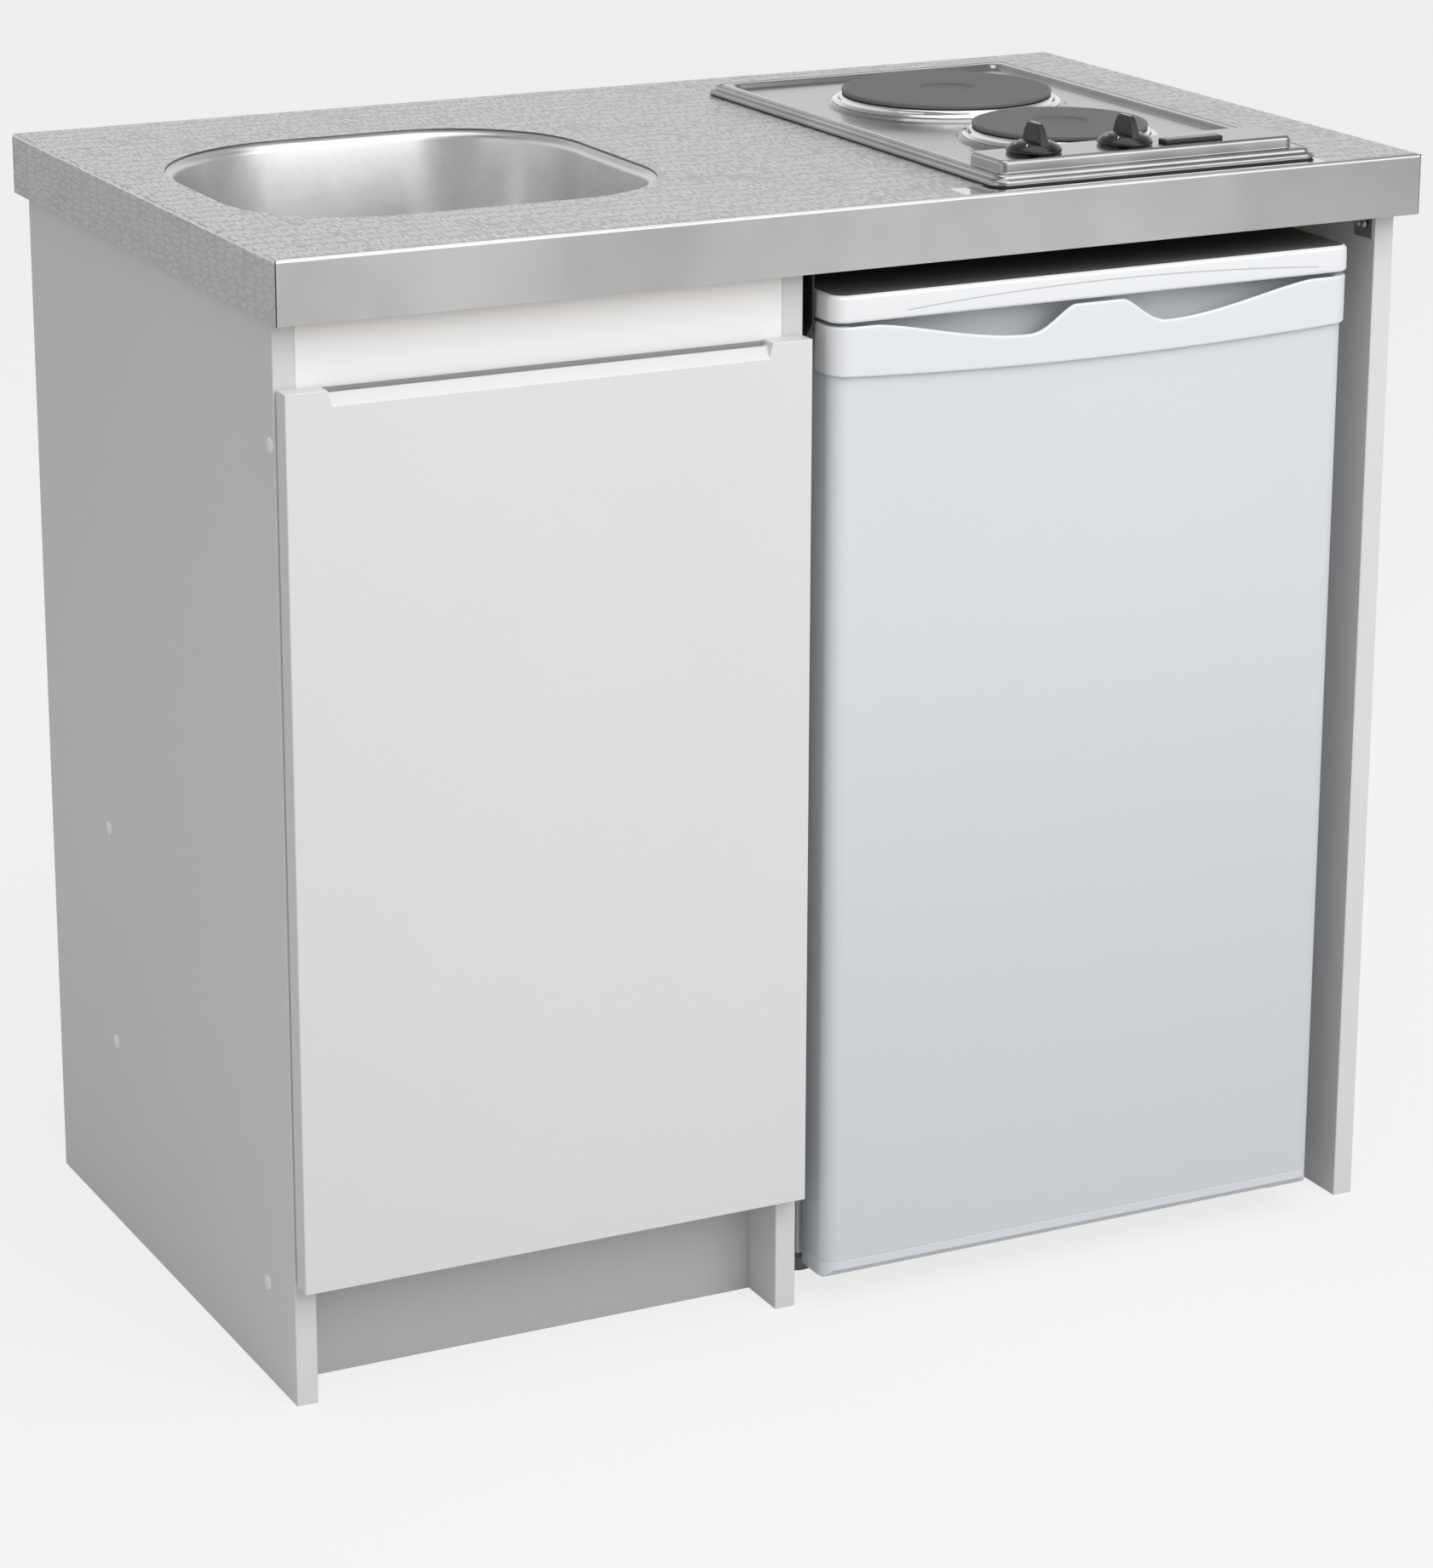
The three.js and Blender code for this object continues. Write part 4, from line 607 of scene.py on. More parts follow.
# painted shade: a grey strip at the back of the door's grip groove, standing in for the groove's shadow
GROOVE_PAINTED_SHADE = Moulding("groove_shade_paint", Slot.DOOR_LACQUER, (0.3, 0.3, 0.3), gloss=0.45)
CHIPBOARD = RawChip("raw_chipboard", Slot.RAW_BOARD, (0.5, 0.36, 0.22))
FRIDGE_PAINT = EnamelDoor("fridge_paint", Slot.FRIDGE_WHITE, (0.638, 0.658, 0.683), gloss=0.34, coat=0.1,
                          skin=150.0, depth=0.03, tint=0.015)
FRIDGE_MOULD = EnamelDoor("fridge_moulding", Slot.FRIDGE_WHITE, (0.7, 0.715, 0.735), gloss=0.35, coat=0.15,
                          skin=300.0, depth=0.006, tint=0.01)
FRIDGE_CAP = EnamelDoor("fridge_cap_moulding", Slot.FRIDGE_WHITE, (0.74, 0.752, 0.768), gloss=0.35, coat=0.2,
                        skin=300.0, depth=0.006, tint=0.01, line=(215.0, 842.0, 7.5, 190.0))
# painted shade: near-black top of the fridge cap, standing in for the shadow in the gap under the worktop
CAP_PAINTED_SHADE = Moulding("cap_top_shade_paint", Slot.FRIDGE_WHITE, (0.09, 0.09, 0.092), gloss=0.6)
LINER = Moulding("liner_plastic", Slot.LINER_WHITE, (0.78, 0.79, 0.79), gloss=0.37, coat=0.15)
ZINC = PlatedSteel("zinc_plate", Slot.ZINC_STEEL, (0.55, 0.56, 0.57), gloss=0.38)
DARK_STEEL = PlatedSteel("black_painted_steel", Slot.BLACK_STEEL, (0.03, 0.03, 0.032), gloss=0.45, metal=0.0)
GASKET = Moulding("gasket_rubber", Slot.GREY_RUBBER, (0.42, 0.43, 0.44), gloss=0.6)
PIPE = Moulding("pipe_plastic", Slot.WHITE_PIPE, (0.74, 0.74, 0.73), gloss=0.38)
ICE_METAL = PlatedSteel("ice_box_aluminium", Slot.ALUMINIUM, (0.7, 0.71, 0.72), gloss=0.42)
GLASS = ClearGlass("shelf_glass_clear", Slot.SHELF_GLASS, (0.9, 0.96, 0.94))


# ------------------------------------------------------------------ mesh building
def grown(span: Span, by: float) -> Span:
    """A span made longer by the same length at both ends."""
    return span[0] - by, span[1] + by


def quarter(shares: Iterable[float]) -> list[tuple[float, float]]:
    """The cosine and sine at these shares of a quarter turn."""
    return [(math.cos(share * math.pi / 2), math.sin(share * math.pi / 2)) for share in shares]


def placed(name: str, data: bpy.types.ID) -> bpy.types.Object:
    """A new object in the scene, for a mesh, a lamp or a camera."""
    thing = bpy.data.objects.new(name, data)
    bpy.context.scene.collection.objects.link(thing)
    return thing


class Form:
    """A bmesh in millimetres with the shaping steps that the pieces share."""

    def __init__(self) -> None:
        """Starts an empty mesh."""
        self.bm: BMesh = bmesh.new()

    def outline(self, x: Span, y: Span, radii: Sequence[float], z: float, steps: int = 8,
                cuts: int = 0) -> list[BMEdge]:
        """A flat rounded rectangle as a loop of edges.

        Args:
            x: Its reach across.
            y: Its reach in depth.
            radii: The corner radii: front left, front right, rear right, rear left.
            z: Its height.
            steps: Edges in each corner.
            cuts: Points added along each straight side.

        Returns:
            The loop's edges.
        """
        made = bmesh.ops.create_grid(self.bm, x_segments=1, y_segments=1, size=0.5)["verts"]
        bmesh.ops.scale(self.bm, vec=(x[1] - x[0], y[1] - y[0], 1), verts=made)
        bmesh.ops.translate(self.bm, vec=((x[0] + x[1]) / 2, (y[0] + y[1]) / 2, z), verts=made)
        face = made[0].link_faces[0]
        mid = face.calc_center_median()
        corner = dict(zip(((False, False), (True, False), (True, True), (False, True)), radii))
        for vert in made:
            bmesh.ops.bevel(
                self.bm, geom=[vert], offset=corner[(vert.co.x > mid.x, vert.co.y > mid.y)],
                offset_type="OFFSET", affect="VERTICES", segments=steps, profile=0.5, material=-1,
                clamp_overlap=False,
            )
        face = next(f for f in self.bm.faces if len(f.verts) == 4 * (steps + 1) and self._flat_at(f, z, x, y))
        edges = list(face.edges)
        if cuts:
            straight = [e for e in edges if min(abs(e.verts[0].co.x - e.verts[1].co.x),
                                                abs(e.verts[0].co.y - e.verts[1].co.y)) < 1e-6]
            bmesh.ops.subdivide_edges(self.bm, edges=straight, cuts=cuts)
            face = next(f for f in self.bm.faces if len(f.verts) == 4 * (steps + 1 + cuts))
            edges = list(face.edges)
        bmesh.ops.delete(self.bm, geom=[face], context="FACES_ONLY")
        return edges

    @staticmethod
    def _flat_at(face: BMFace, z: float, x: Span, y: Span) -> bool:
        """Whether a face is the loose outline at this place."""
        near = all(abs(v.co.z - z) < 1e-4 and len(v.link_faces) == 1 for v in face.verts)
        (x0, x1), (y0, y1) = grown(x, 0.01), grown(y, 0.01)
        return near and all(x0 < v.co.x < x1 and y0 < v.co.y < y1 for v in face.verts)

    def circle(self, centre: tuple[float, float], radius: float, z: float, steps: int = 64) -> list[BMEdge]:
        """A flat circle as a loop of edges."""
        verts = bmesh.ops.create_circle(self.bm, cap_ends=False, segments=steps, radius=radius)["verts"]
        bmesh.ops.translate(self.bm, vec=(centre[0], centre[1], z), verts=verts)
        return list({e for v in verts for e in v.link_edges})

    def loft(self, loops: Sequence[list[BMEdge]]) -> None:
        """Bridges each loop to the next."""
        for first, second in zip(loops, loops[1:]):
            bmesh.ops.bridge_loops(self.bm, edges=first + second)

    def fill(self, *loops: list[BMEdge]) -> None:
        """Fills the flat space between an outer loop and the loops inside it."""
        edges = [edge for loop in loops for edge in loop]
        bmesh.ops.triangle_fill(self.bm, use_beauty=True, edges=edges, normal=UP)

    def turned(self, profile: Sequence[tuple[float, float]], centre: Point, steps: int = 64,
               axis: Axis = Axis.Z) -> list[BMVert]:
        """Spins a profile of (radius, height) points once round an axis.

        Args:
            profile: The points in order.
            centre: Where the axis meets height 0.
            steps: Sides of the turned form.
            axis: The axis's direction.

        Returns:
            The new vertices.
        """
        before = set(self.bm.verts)
        verts = [self.bm.verts.new((radius, 0, height)) for radius, height in profile]
        edges = [self.bm.edges.new(pair) for pair in zip(verts, verts[1:])]
        bmesh.ops.spin(self.bm, geom=verts + edges, cent=(0, 0, 0), axis=UP, angle=math.tau, steps=steps,
                       use_merge=True)
        made = [v for v in self.bm.verts if v not in before]
        bmesh.ops.remove_doubles(self.bm, verts=made, dist=1e-4)
        made = [v for v in self.bm.verts if v not in before]
        if axis is not Axis.Z:
            lay = Matrix.Rotation(math.pi / 2, 3, "X" if axis is Axis.Y else "Y")
            bmesh.ops.rotate(self.bm, cent=(0, 0, 0), matrix=lay, verts=made)
        bmesh.ops.translate(self.bm, vec=centre, verts=made)
        return made

    def slab(self, x: Span, y: Span, z: Span) -> list[BMVert]:
        """A squared board or bar."""
        verts = bmesh.ops.create_cube(self.bm, size=1)["verts"]
        bmesh.ops.scale(self.bm, vec=(x[1] - x[0], y[1] - y[0], z[1] - z[0]), verts=verts)
        bmesh.ops.translate(self.bm, vec=(sum(x) / 2, sum(y) / 2, sum(z) / 2), verts=verts)
        return verts

    def drawn(self, points: Sequence[tuple[float, float]], axis: Axis, span: Span) -> list[BMVert]:
        """Draws a closed profile out along an axis.

        Args:
            points: The profile in the two other axes, in their order.
            axis: The direction of the draw.
            span: Where it starts and ends.

        Returns:
            The new vertices.
        """
        before = set(self.bm.verts)
        corners = [[a, b] for a, b in points]
        for corner in corners:
            corner.insert(axis.value, span[0])
        face = self.bm.faces.new([self.bm.verts.new(corner) for corner in corners])
        made = bmesh.ops.extrude_face_region(self.bm, geom=[face], use_keep_orig=True)["geom"]
        step = [0.0, 0.0, 0.0]
        step[axis.value] = span[1] - span[0]
        bmesh.ops.translate(self.bm, vec=step, verts=[g for g in made if isinstance(g, BMVert)])
        return [v for v in self.bm.verts if v not in before]

    def round_edges(self, width: float, segments: int = 2, angle: float = 30.0,
                    only: Iterable[BMVert] | None = None) -> None:
        """Bevels the edges that turn by more than an angle.

        Args:
            width: The bevel's width.
            segments: Its steps.
            angle: The least turn, in degrees.
            only: The vertices to stay between, or all.
        """
        keep = set(only) if only is not None else None
        self.bm.normal_update()
        edges = [e for e in self.bm.edges
                 if len(e.link_faces) == 2 and e.calc_face_angle(0) > math.radians(angle)
                 and (keep is None or (e.verts[0] in keep and e.verts[1] in keep))]
        bmesh.ops.bevel(self.bm, geom=edges, offset=width, offset_type="OFFSET", affect="EDGES",
                        segments=segments, profile=0.5, material=-1, clamp_overlap=True)

    def piece(self, name: str, body: Body, finishes: Union[Finish, Sequence[Finish]],
              stands_for: Sequence[str] = (), facing: Point | None = None, sharp: float = 32.0,
              wall: float = 0.0, choose: Chooser | None = None, scale: float = MM) -> bpy.types.Object:
        """Ends the form as an object that rides on a body.

        Args:
            name: The piece's name.
            body: The body that carries it.
            finishes: Its finish, or several that choose picks from.
            stands_for: The CAD nodes that it replaces.
            facing: For an open sheet, the side that shows.
            sharp: Edges that turn more than this many degrees stay crisp.
            wall: Thickness given to a sheet away from its shown side.
            choose: Picks a face's finish by number.
            scale: Metres in one unit of the mesh.

        Returns:
            The finished object.
        """
        bm = self.bm
        loose = [v for v in bm.verts if not v.link_faces]
        bmesh.ops.delete(bm, geom=loose, context="VERTS")
        bmesh.ops.remove_doubles(bm, verts=bm.verts, dist=1e-4 * MM / scale)
        bmesh.ops.recalc_face_normals(bm, faces=bm.faces)
        bm.normal_update()
        if facing is not None:
            way = Vector(facing)
            if sum(f.normal.dot(way) * f.calc_area() for f in bm.faces) < 0:
                bmesh.ops.reverse_faces(bm, faces=bm.faces)
        bmesh.ops.scale(bm, vec=(scale,) * 3, verts=bm.verts)
        bm.normal_update()
        for face in bm.faces:
            face.smooth = True
            if choose is not None:
                face.material_index = choose(face)
        mesh = bpy.data.meshes.new(name)
        bm.to_mesh(mesh)
        bm.free()
        mesh.set_sharp_from_angle(angle=math.radians(sharp))
        several = [finishes] if isinstance(finishes, Finish) else list(finishes)
        for finish in several:
            mesh.materials.append(finish.material())
        piece = placed(name, mesh)
        if wall:
            thicken = piece.modifiers.new("sheet", "SOLIDIFY")
            thicken.thickness, thicken.offset = wall * MM, -1.0
        even = piece.modifiers.new("even_shading", "WEIGHTED_NORMAL")
        even.keep_sharp, even.weight = True, 60
        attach(piece, body.value)
        if stands_for:
            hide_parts(*stands_for)
        LOG.info("%s: %d faces, rides on %s", name, len(mesh.polygons), body.value)
        return piece


@dataclass(frozen=True)
class Plan:
    """A rounded rectangle that rings are drawn from; its radii go round from the front left."""

    x: Span
    y: Span
    radii: tuple[float, float, float, float]
    steps: int = 8
    cuts: int = 0
    least: float = 0.5

    def ring(self, form: Form, offset: float, z: float) -> list[BMEdge]:
        """The outline moved out by an offset, at a height."""
        radii = [max(radius + offset, self.least) for radius in self.radii]
        return form.outline(grown(self.x, offset), grown(self.y, offset), radii, z, self.steps, self.cuts)

    def rings(self, form: Form, profile: Iterable[tuple[float, float]]) -> list[list[BMEdge]]:
        """A ring for each offset and height of a profile."""
        return [self.ring(form, offset, z) for offset, z in profile]


def carried_over(node: str, body: Body, finish: Finish, bevel: float = 0.8, sharp: float = 32.0,
                 choose: Chooser | None = None, extra: Sequence[Finish] = ()) -> bpy.types.Object:
    """A finished copy of a CAD node: its flat faces joined, its edges eased, its curves shaded smooth.

    Args:
        node: The CAD node.
        body: The body that carries it.
        finish: Its finish.
        bevel: Width of the eased edges, in millimetres, or 0.
        sharp: Edges that turn more than this many degrees are eased and stay crisp.
        choose: Picks a face's finish by number.
        extra: Further finishes for choose.

    Returns:
        The finished object.
    """
    form = Form()
    form.bm.from_mesh(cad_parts[node].data)
    bmesh.ops.remove_doubles(form.bm, verts=form.bm.verts, dist=2e-6)
    bmesh.ops.dissolve_limit(form.bm, angle_limit=math.radians(0.6), verts=form.bm.verts, edges=form.bm.edges)
    piece = form.piece(f"{node}_finished", body, [finish, *extra], (node,), sharp=sharp, choose=choose,
                       scale=1.0)
    if bevel:
        ease = piece.modifiers.new("eased_edges", "BEVEL")
        ease.width, ease.segments, ease.limit_method = bevel * MM, 2, "ANGLE"
        ease.angle_limit, ease.use_clamp_overlap = math.radians(sharp), True
        piece.modifiers.move(len(piece.modifiers) - 1, 0)
    return piece


def dressed(finish: Finish, *nodes: str) -> None:
    """Gives CAD nodes whose shape is right their finish."""
    for node in nodes:
        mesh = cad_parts[node].data
        mesh.materials.clear()
        mesh.materials.append(finish.material())
        LOG.info("%s: kept, in %s", node, finish.name)


# ------------------------------------------------------------------ worktop and basin
@dataclass
class Worktop:
    """The folded steel top with its openings, on its board core."""

    x: Span = (-500, 500)
    y: Span = (-300, 300)
    z: Span = (870, 920)
    edge: float = 3.0
    sheet: float = 1.0
    lip: float = 1.7
    corner: float = 0.8
    inner_corner: float = 0.4
    turned_in: float = 12
    opening_reach: Span = (490, 290)
    hob_cutout: tuple[Span, Span] = ((123, 399), (-272, 212))
    seam: float = 0.9

    def build(self, basin: "Basin") -> None:
        """Makes the skin round the basin's and the hob's openings, and dresses the core."""
        form = Form()
        bottom, top = self.z
        inner = Plan(self.x, self.y, (self.inner_corner,) * 4, 2, least=self.inner_corner)
        outer = Plan(self.x, self.y, (self.corner,) * 4, 2, least=self.corner)
        loops = inner.rings(form, ((-self.sheet, top - self.turned_in), (-self.sheet, bottom)))
        loops.append(outer.ring(form, 0, bottom))
        loops += outer.rings(form, ((-self.edge * (1 - cos), top - self.edge * (1 - sin))
                                    for cos, sin in quarter(step / 5 for step in range(6))))
        flat = outer.ring(form, -self.edge - 1, top)
        loops.append(flat)
        form.loft(loops)
        mouth = basin.plan.ring(form, 0.0, top)
        cutout = form.outline(*self.hob_cutout, (3,) * 4, top, 3)
        form.fill(flat, mouth, cutout)
        for loop in (mouth, cutout):
            lip = bmesh.ops.extrude_edge_only(form.bm, edges=loop)["geom"]
            verts = [g for g in lip if isinstance(g, BMVert)]
            bmesh.ops.translate(form.bm, vec=(0, 0, -self.lip), verts=verts)

        def finish_of(face: BMFace) -> int:
            """The front band is plain satin in a darker colour as painted shade, the openings' turned-down
            lips take a dark colour as painted shade, and the rest is embossed.
            """
            at = face.calc_center_median() / MM
            if at.y < self.y[0] + 0.75 * self.edge and at.z < top - 0.15 and face.normal.y < -0.2:
                return 1
            far_x, far_y = self.opening_reach
            turned_down = abs(face.normal.z) < 0.3 and abs(at.x) < far_x and abs(at.y) < far_y
            return 2 if turned_down and at.z > top - self.lip else 0

        form.piece("worktop_sheet", Body.UNIT, (EMBOSSED, FRONT_BAND_PAINTED_SHADE, LIP_PAINTED_SHADE), ("worktop_skin",),
                   facing=(0, 0, 1), choose=finish_of, sharp=40)
        self._seams()
        dressed(CHIPBOARD, "worktop_core")

    def _seams(self) -> None:
        """The dark joint where the front band meets each side."""
        form = Form()
        for x in ((self.x[0], self.x[0] + self.seam), (self.x[1] - self.seam, self.x[1])):
            form.slab(x, (self.y[0], self.y[0] + self.seam), (self.z[0] + 0.2, self.z[1] - 0.6))
        form.round_edges(0.2, 1)
        form.piece("worktop_corner_seams", Body.UNIT, SEAM)


@dataclass
class Basin:
    """The drawn bowl, let in just below the sheet's face, with its waste."""

    plan: Plan = Plan((-455, -92), (-178, 170), (107, 107, 116, 141), steps=14, cuts=7)
    top: float = 920
    rim_flat: float = 0.9
    rim_drop: float = 1.4
    rim_roll: float = 7
    draft: float = 8
    floor: float = 770
    fillet: float = 74
    slope: tuple[float, float] = (12, 0.7)
    seat: float = 766
    waste: tuple[float, float] = (-273.5, -4)
    waste_profile: tuple[tuple[float, float], ...] = ((62, 0.4), (58, 0), (43.2, 0))
    wall: float = 0.9

    def build(self) -> None:
        """Lofts the bowl from its rim to the waste seat, and makes the strainer."""
        form = Form()
        rim = self.top - self.rim_drop
        inset = self.rim_flat + self.rim_roll
        high, foot = rim - self.rim_roll, self.floor + self.fillet
        profile = [(0.3, rim - 0.25), (-0.1, rim - 0.05), (-self.rim_flat * 0.6, rim), (-self.rim_flat, rim)]
        profile += [(-self.rim_flat - self.rim_roll * sin, rim - self.rim_roll * (1 - cos))
                    for cos, sin in quarter(step / 5 for step in range(1, 6))]
        profile += [(-inset - self.draft * share, high + (foot - high) * share) for share in (0.15, 0.4, 0.7)]
        profile += [(-inset - self.draft - self.fillet * (1 - cos), foot - self.fillet * sin)
                    for cos, sin in quarter(step / 8 for step in range(9))]
        fall, drop = self.slope
        profile.append((-inset - self.draft - self.fillet - fall, self.floor - drop))
        loops = self.plan.rings(form, profile)
        count = 4 * (self.plan.steps + 1 + self.plan.cuts)
        loops += [form.circle(self.waste, radius, self.seat + rise, count)
                  for radius, rise in self.waste_profile]
        form.loft(loops)
        form.piece("drawn_bowl", Body.UNIT, BOWL, ("sink_basin",), facing=(0, 0, 1), sharp=50, wall=self.wall)
        self._strainer()
        for fitting in ("waste_nut", "trap_body", "trap_outlet"):
            carried_over(fitting, Body.UNIT, PIPE, bevel=0.4, sharp=40)

    def _strainer(self) -> None:
        """The waste flange with its dished bowl, and the basket that lifts out of it."""
        x, y = self.waste
        form = Form()
        form.turned([
            (40.5, -1), (41, 0.3), (42, 1.2), (43.5, 1.7), (53, 1.5), (55, 1.1), (56, 0.3), (56, 0),
            (42, 0), (42, -33), (40, -35.5), (20, -35.5), (20, -69.5), (18.5, -69.5), (18.5, -34), (38, -34),
            (40, -32), (40.5, -1),
        ], (x, y, self.seat), 72)
        form.piece("waste_flange", Body.UNIT, WASTE_STEEL, ("strainer_flange",), sharp=45)
        carried_over("strainer_basket", Body.STRAINER, WASTE_STEEL, bevel=0.3, sharp=40)


# ------------------------------------------------------------------ hob
@dataclass
class Plate:
    """One cast plate in its polished trim."""

    size: str
    radius: float
    y: float
    x: float = 261
    top: float = 938.5
    seat: float = 927.5
    thickness: float = 5
    trim: float = 8
    hub: float = 25
    recess: float = 1.6

    def build(self) -> None:
        """Turns the casting and its trim."""
        r, bead, hub = self.radius, self.radius - 5, self.hub
        form = Form()
        form.turned([
            (0, -self.recess), (hub - 5, -self.recess), (hub - 2.5, -self.recess + 0.25),
            (hub - 0.8, -0.35), (hub + 1, -0.02), (hub + 3, 0), (r - 5, 0), (r - 2.2, -0.1), (r - 0.7, -0.6),
            (r, -1.5), (r, -3.4), (r - 0.5, -4.4), (r - 1.4, -4.75), (bead, -4.75), (bead, -13),
            (bead - 5, -13), (bead - 5, -7), (0, -7),
        ], (self.x, self.y, self.top), 128)
        name = f"plate_{self.size}"
        iron = CastPlate(f"cast_{name}", Slot.CAST_IRON, (0.115, 0.115, 0.118), (self.x, self.y, 0), r)
        form.piece(f"{name}_casting", Body.UNIT, iron, (name,), sharp=45)

        collar = Form()
        inner, outer, foot, head = r + 0.4, r + self.trim, self.seat + 0.3, self.top - self.thickness
        collar.turned([
            (bead + 0.4, head), (inner - 0.6, head), (inner + 0.5, head - 0.1), (inner + 1.4, head - 0.5),
            (inner + 2.0, head - 1.2), (inner + 2.35, head - 2.2), (inner + 2.6, foot + 2.4),
            (inner + 2.9, foot + 1.5), (inner + 3.6, foot + 0.9), (inner + 5, foot + 0.6),
            (outer - 0.3, foot + 0.5), (outer, foot + 0.2), (outer, foot), (bead + 0.4, foot),
            (bead + 0.4, head),
        ], (self.x, self.y, 0), 128)
        collar.piece(f"{name}_collar", Body.UNIT, TRIM_STEEL, (f"{name}_trim",), sharp=50)


@dataclass
class Knob:
    """A control knob: a glossy dome with a fin across it and a pointer line on the fin."""

    side: str
    body: Body
    x: float
    y: float = -247
    base: float = 939.8
    radius: float = 22.5
    height: float = 9
    grip_height: float = 23
    fin_half: float = 4
    stem: float = 4
    ticks: tuple[float, ...] = (-140, -95, -50, 50, 95, 140)
    tick_lean: float = 0.6
    tick_rise: float = 6.35

    def build(self) -> None:
        """Turns the dome, draws the fin and lays the marks on."""
        r, x, y, z = self.radius, self.x, self.y, self.base
        form = Form()
        form.turned([
            (0, 0.6), (r - 2, 0.4), (r - 0.9, 0), (r - 0.2, 0.5), (r, 1.3), (r - 0.3, 2.4), (r - 1.3, 3.7),
            (r - 3.2, 5.3), (r - 6, 6.9), (r - 9.5, 8.1), (r - 14, 8.75), (0, self.height),
        ], (x, y, z), 72)
        fin = form.drawn([
            (y - 19.6, z + 2.4), (y + 14.2, z + 4), (y + 10.4, z + 17), (y + 8.2, z + 21.4),
            (y + 6.4, z + 22.9), (y - 6.2, z + 22.9), (y - 9, z + 22), (y - 11.6, z + 19.4),
            (y - 14.8, z + 12),
        ], Axis.X, (x - self.fin_half, x + self.fin_half))
        for vert in fin:
            rise = (vert.co.z - z) / self.grip_height
            vert.co.x = x + (vert.co.x - x) * (1.12 - 0.42 * rise)
        form.round_edges(0.9, 3, 25, fin)
        form.turned([(0, 1), (self.stem, 1), (self.stem, -2.2), (0, -2.2)], (x, y, z), 24)
        form.piece(f"knob_{self.side}_moulding", self.body, KNOB_PLASTIC, (f"knob_{self.side}",), sharp=38)

        marks = Form()
        marks.slab((x - 0.55, x + 0.55), (y - 8.6, y + 5.6), (z + 22.6, z + 23.0))
        lean = Matrix.Rotation(self.tick_lean, 3, "X")
        for turn in self.ticks:
            tick = marks.slab((-0.45, 0.45), (3.6 - r, 7.2 - r), (-0.2, 0.2))
            bmesh.ops.rotate(marks.bm, cent=(0, 5.4 - r, 0), matrix=lean, verts=tick)
            bmesh.ops.translate(marks.bm, vec=(0, 0, self.tick_rise), verts=tick)
            round_about = Matrix.Rotation(math.radians(turn), 3, "Z")
            bmesh.ops.rotate(marks.bm, cent=(0, 0, 0), matrix=round_about, verts=tick)
            bmesh.ops.translate(marks.bm, vec=(x, y, z), verts=tick)
        marks.piece(f"knob_{self.side}_marks", self.body, MARK_PAINT)


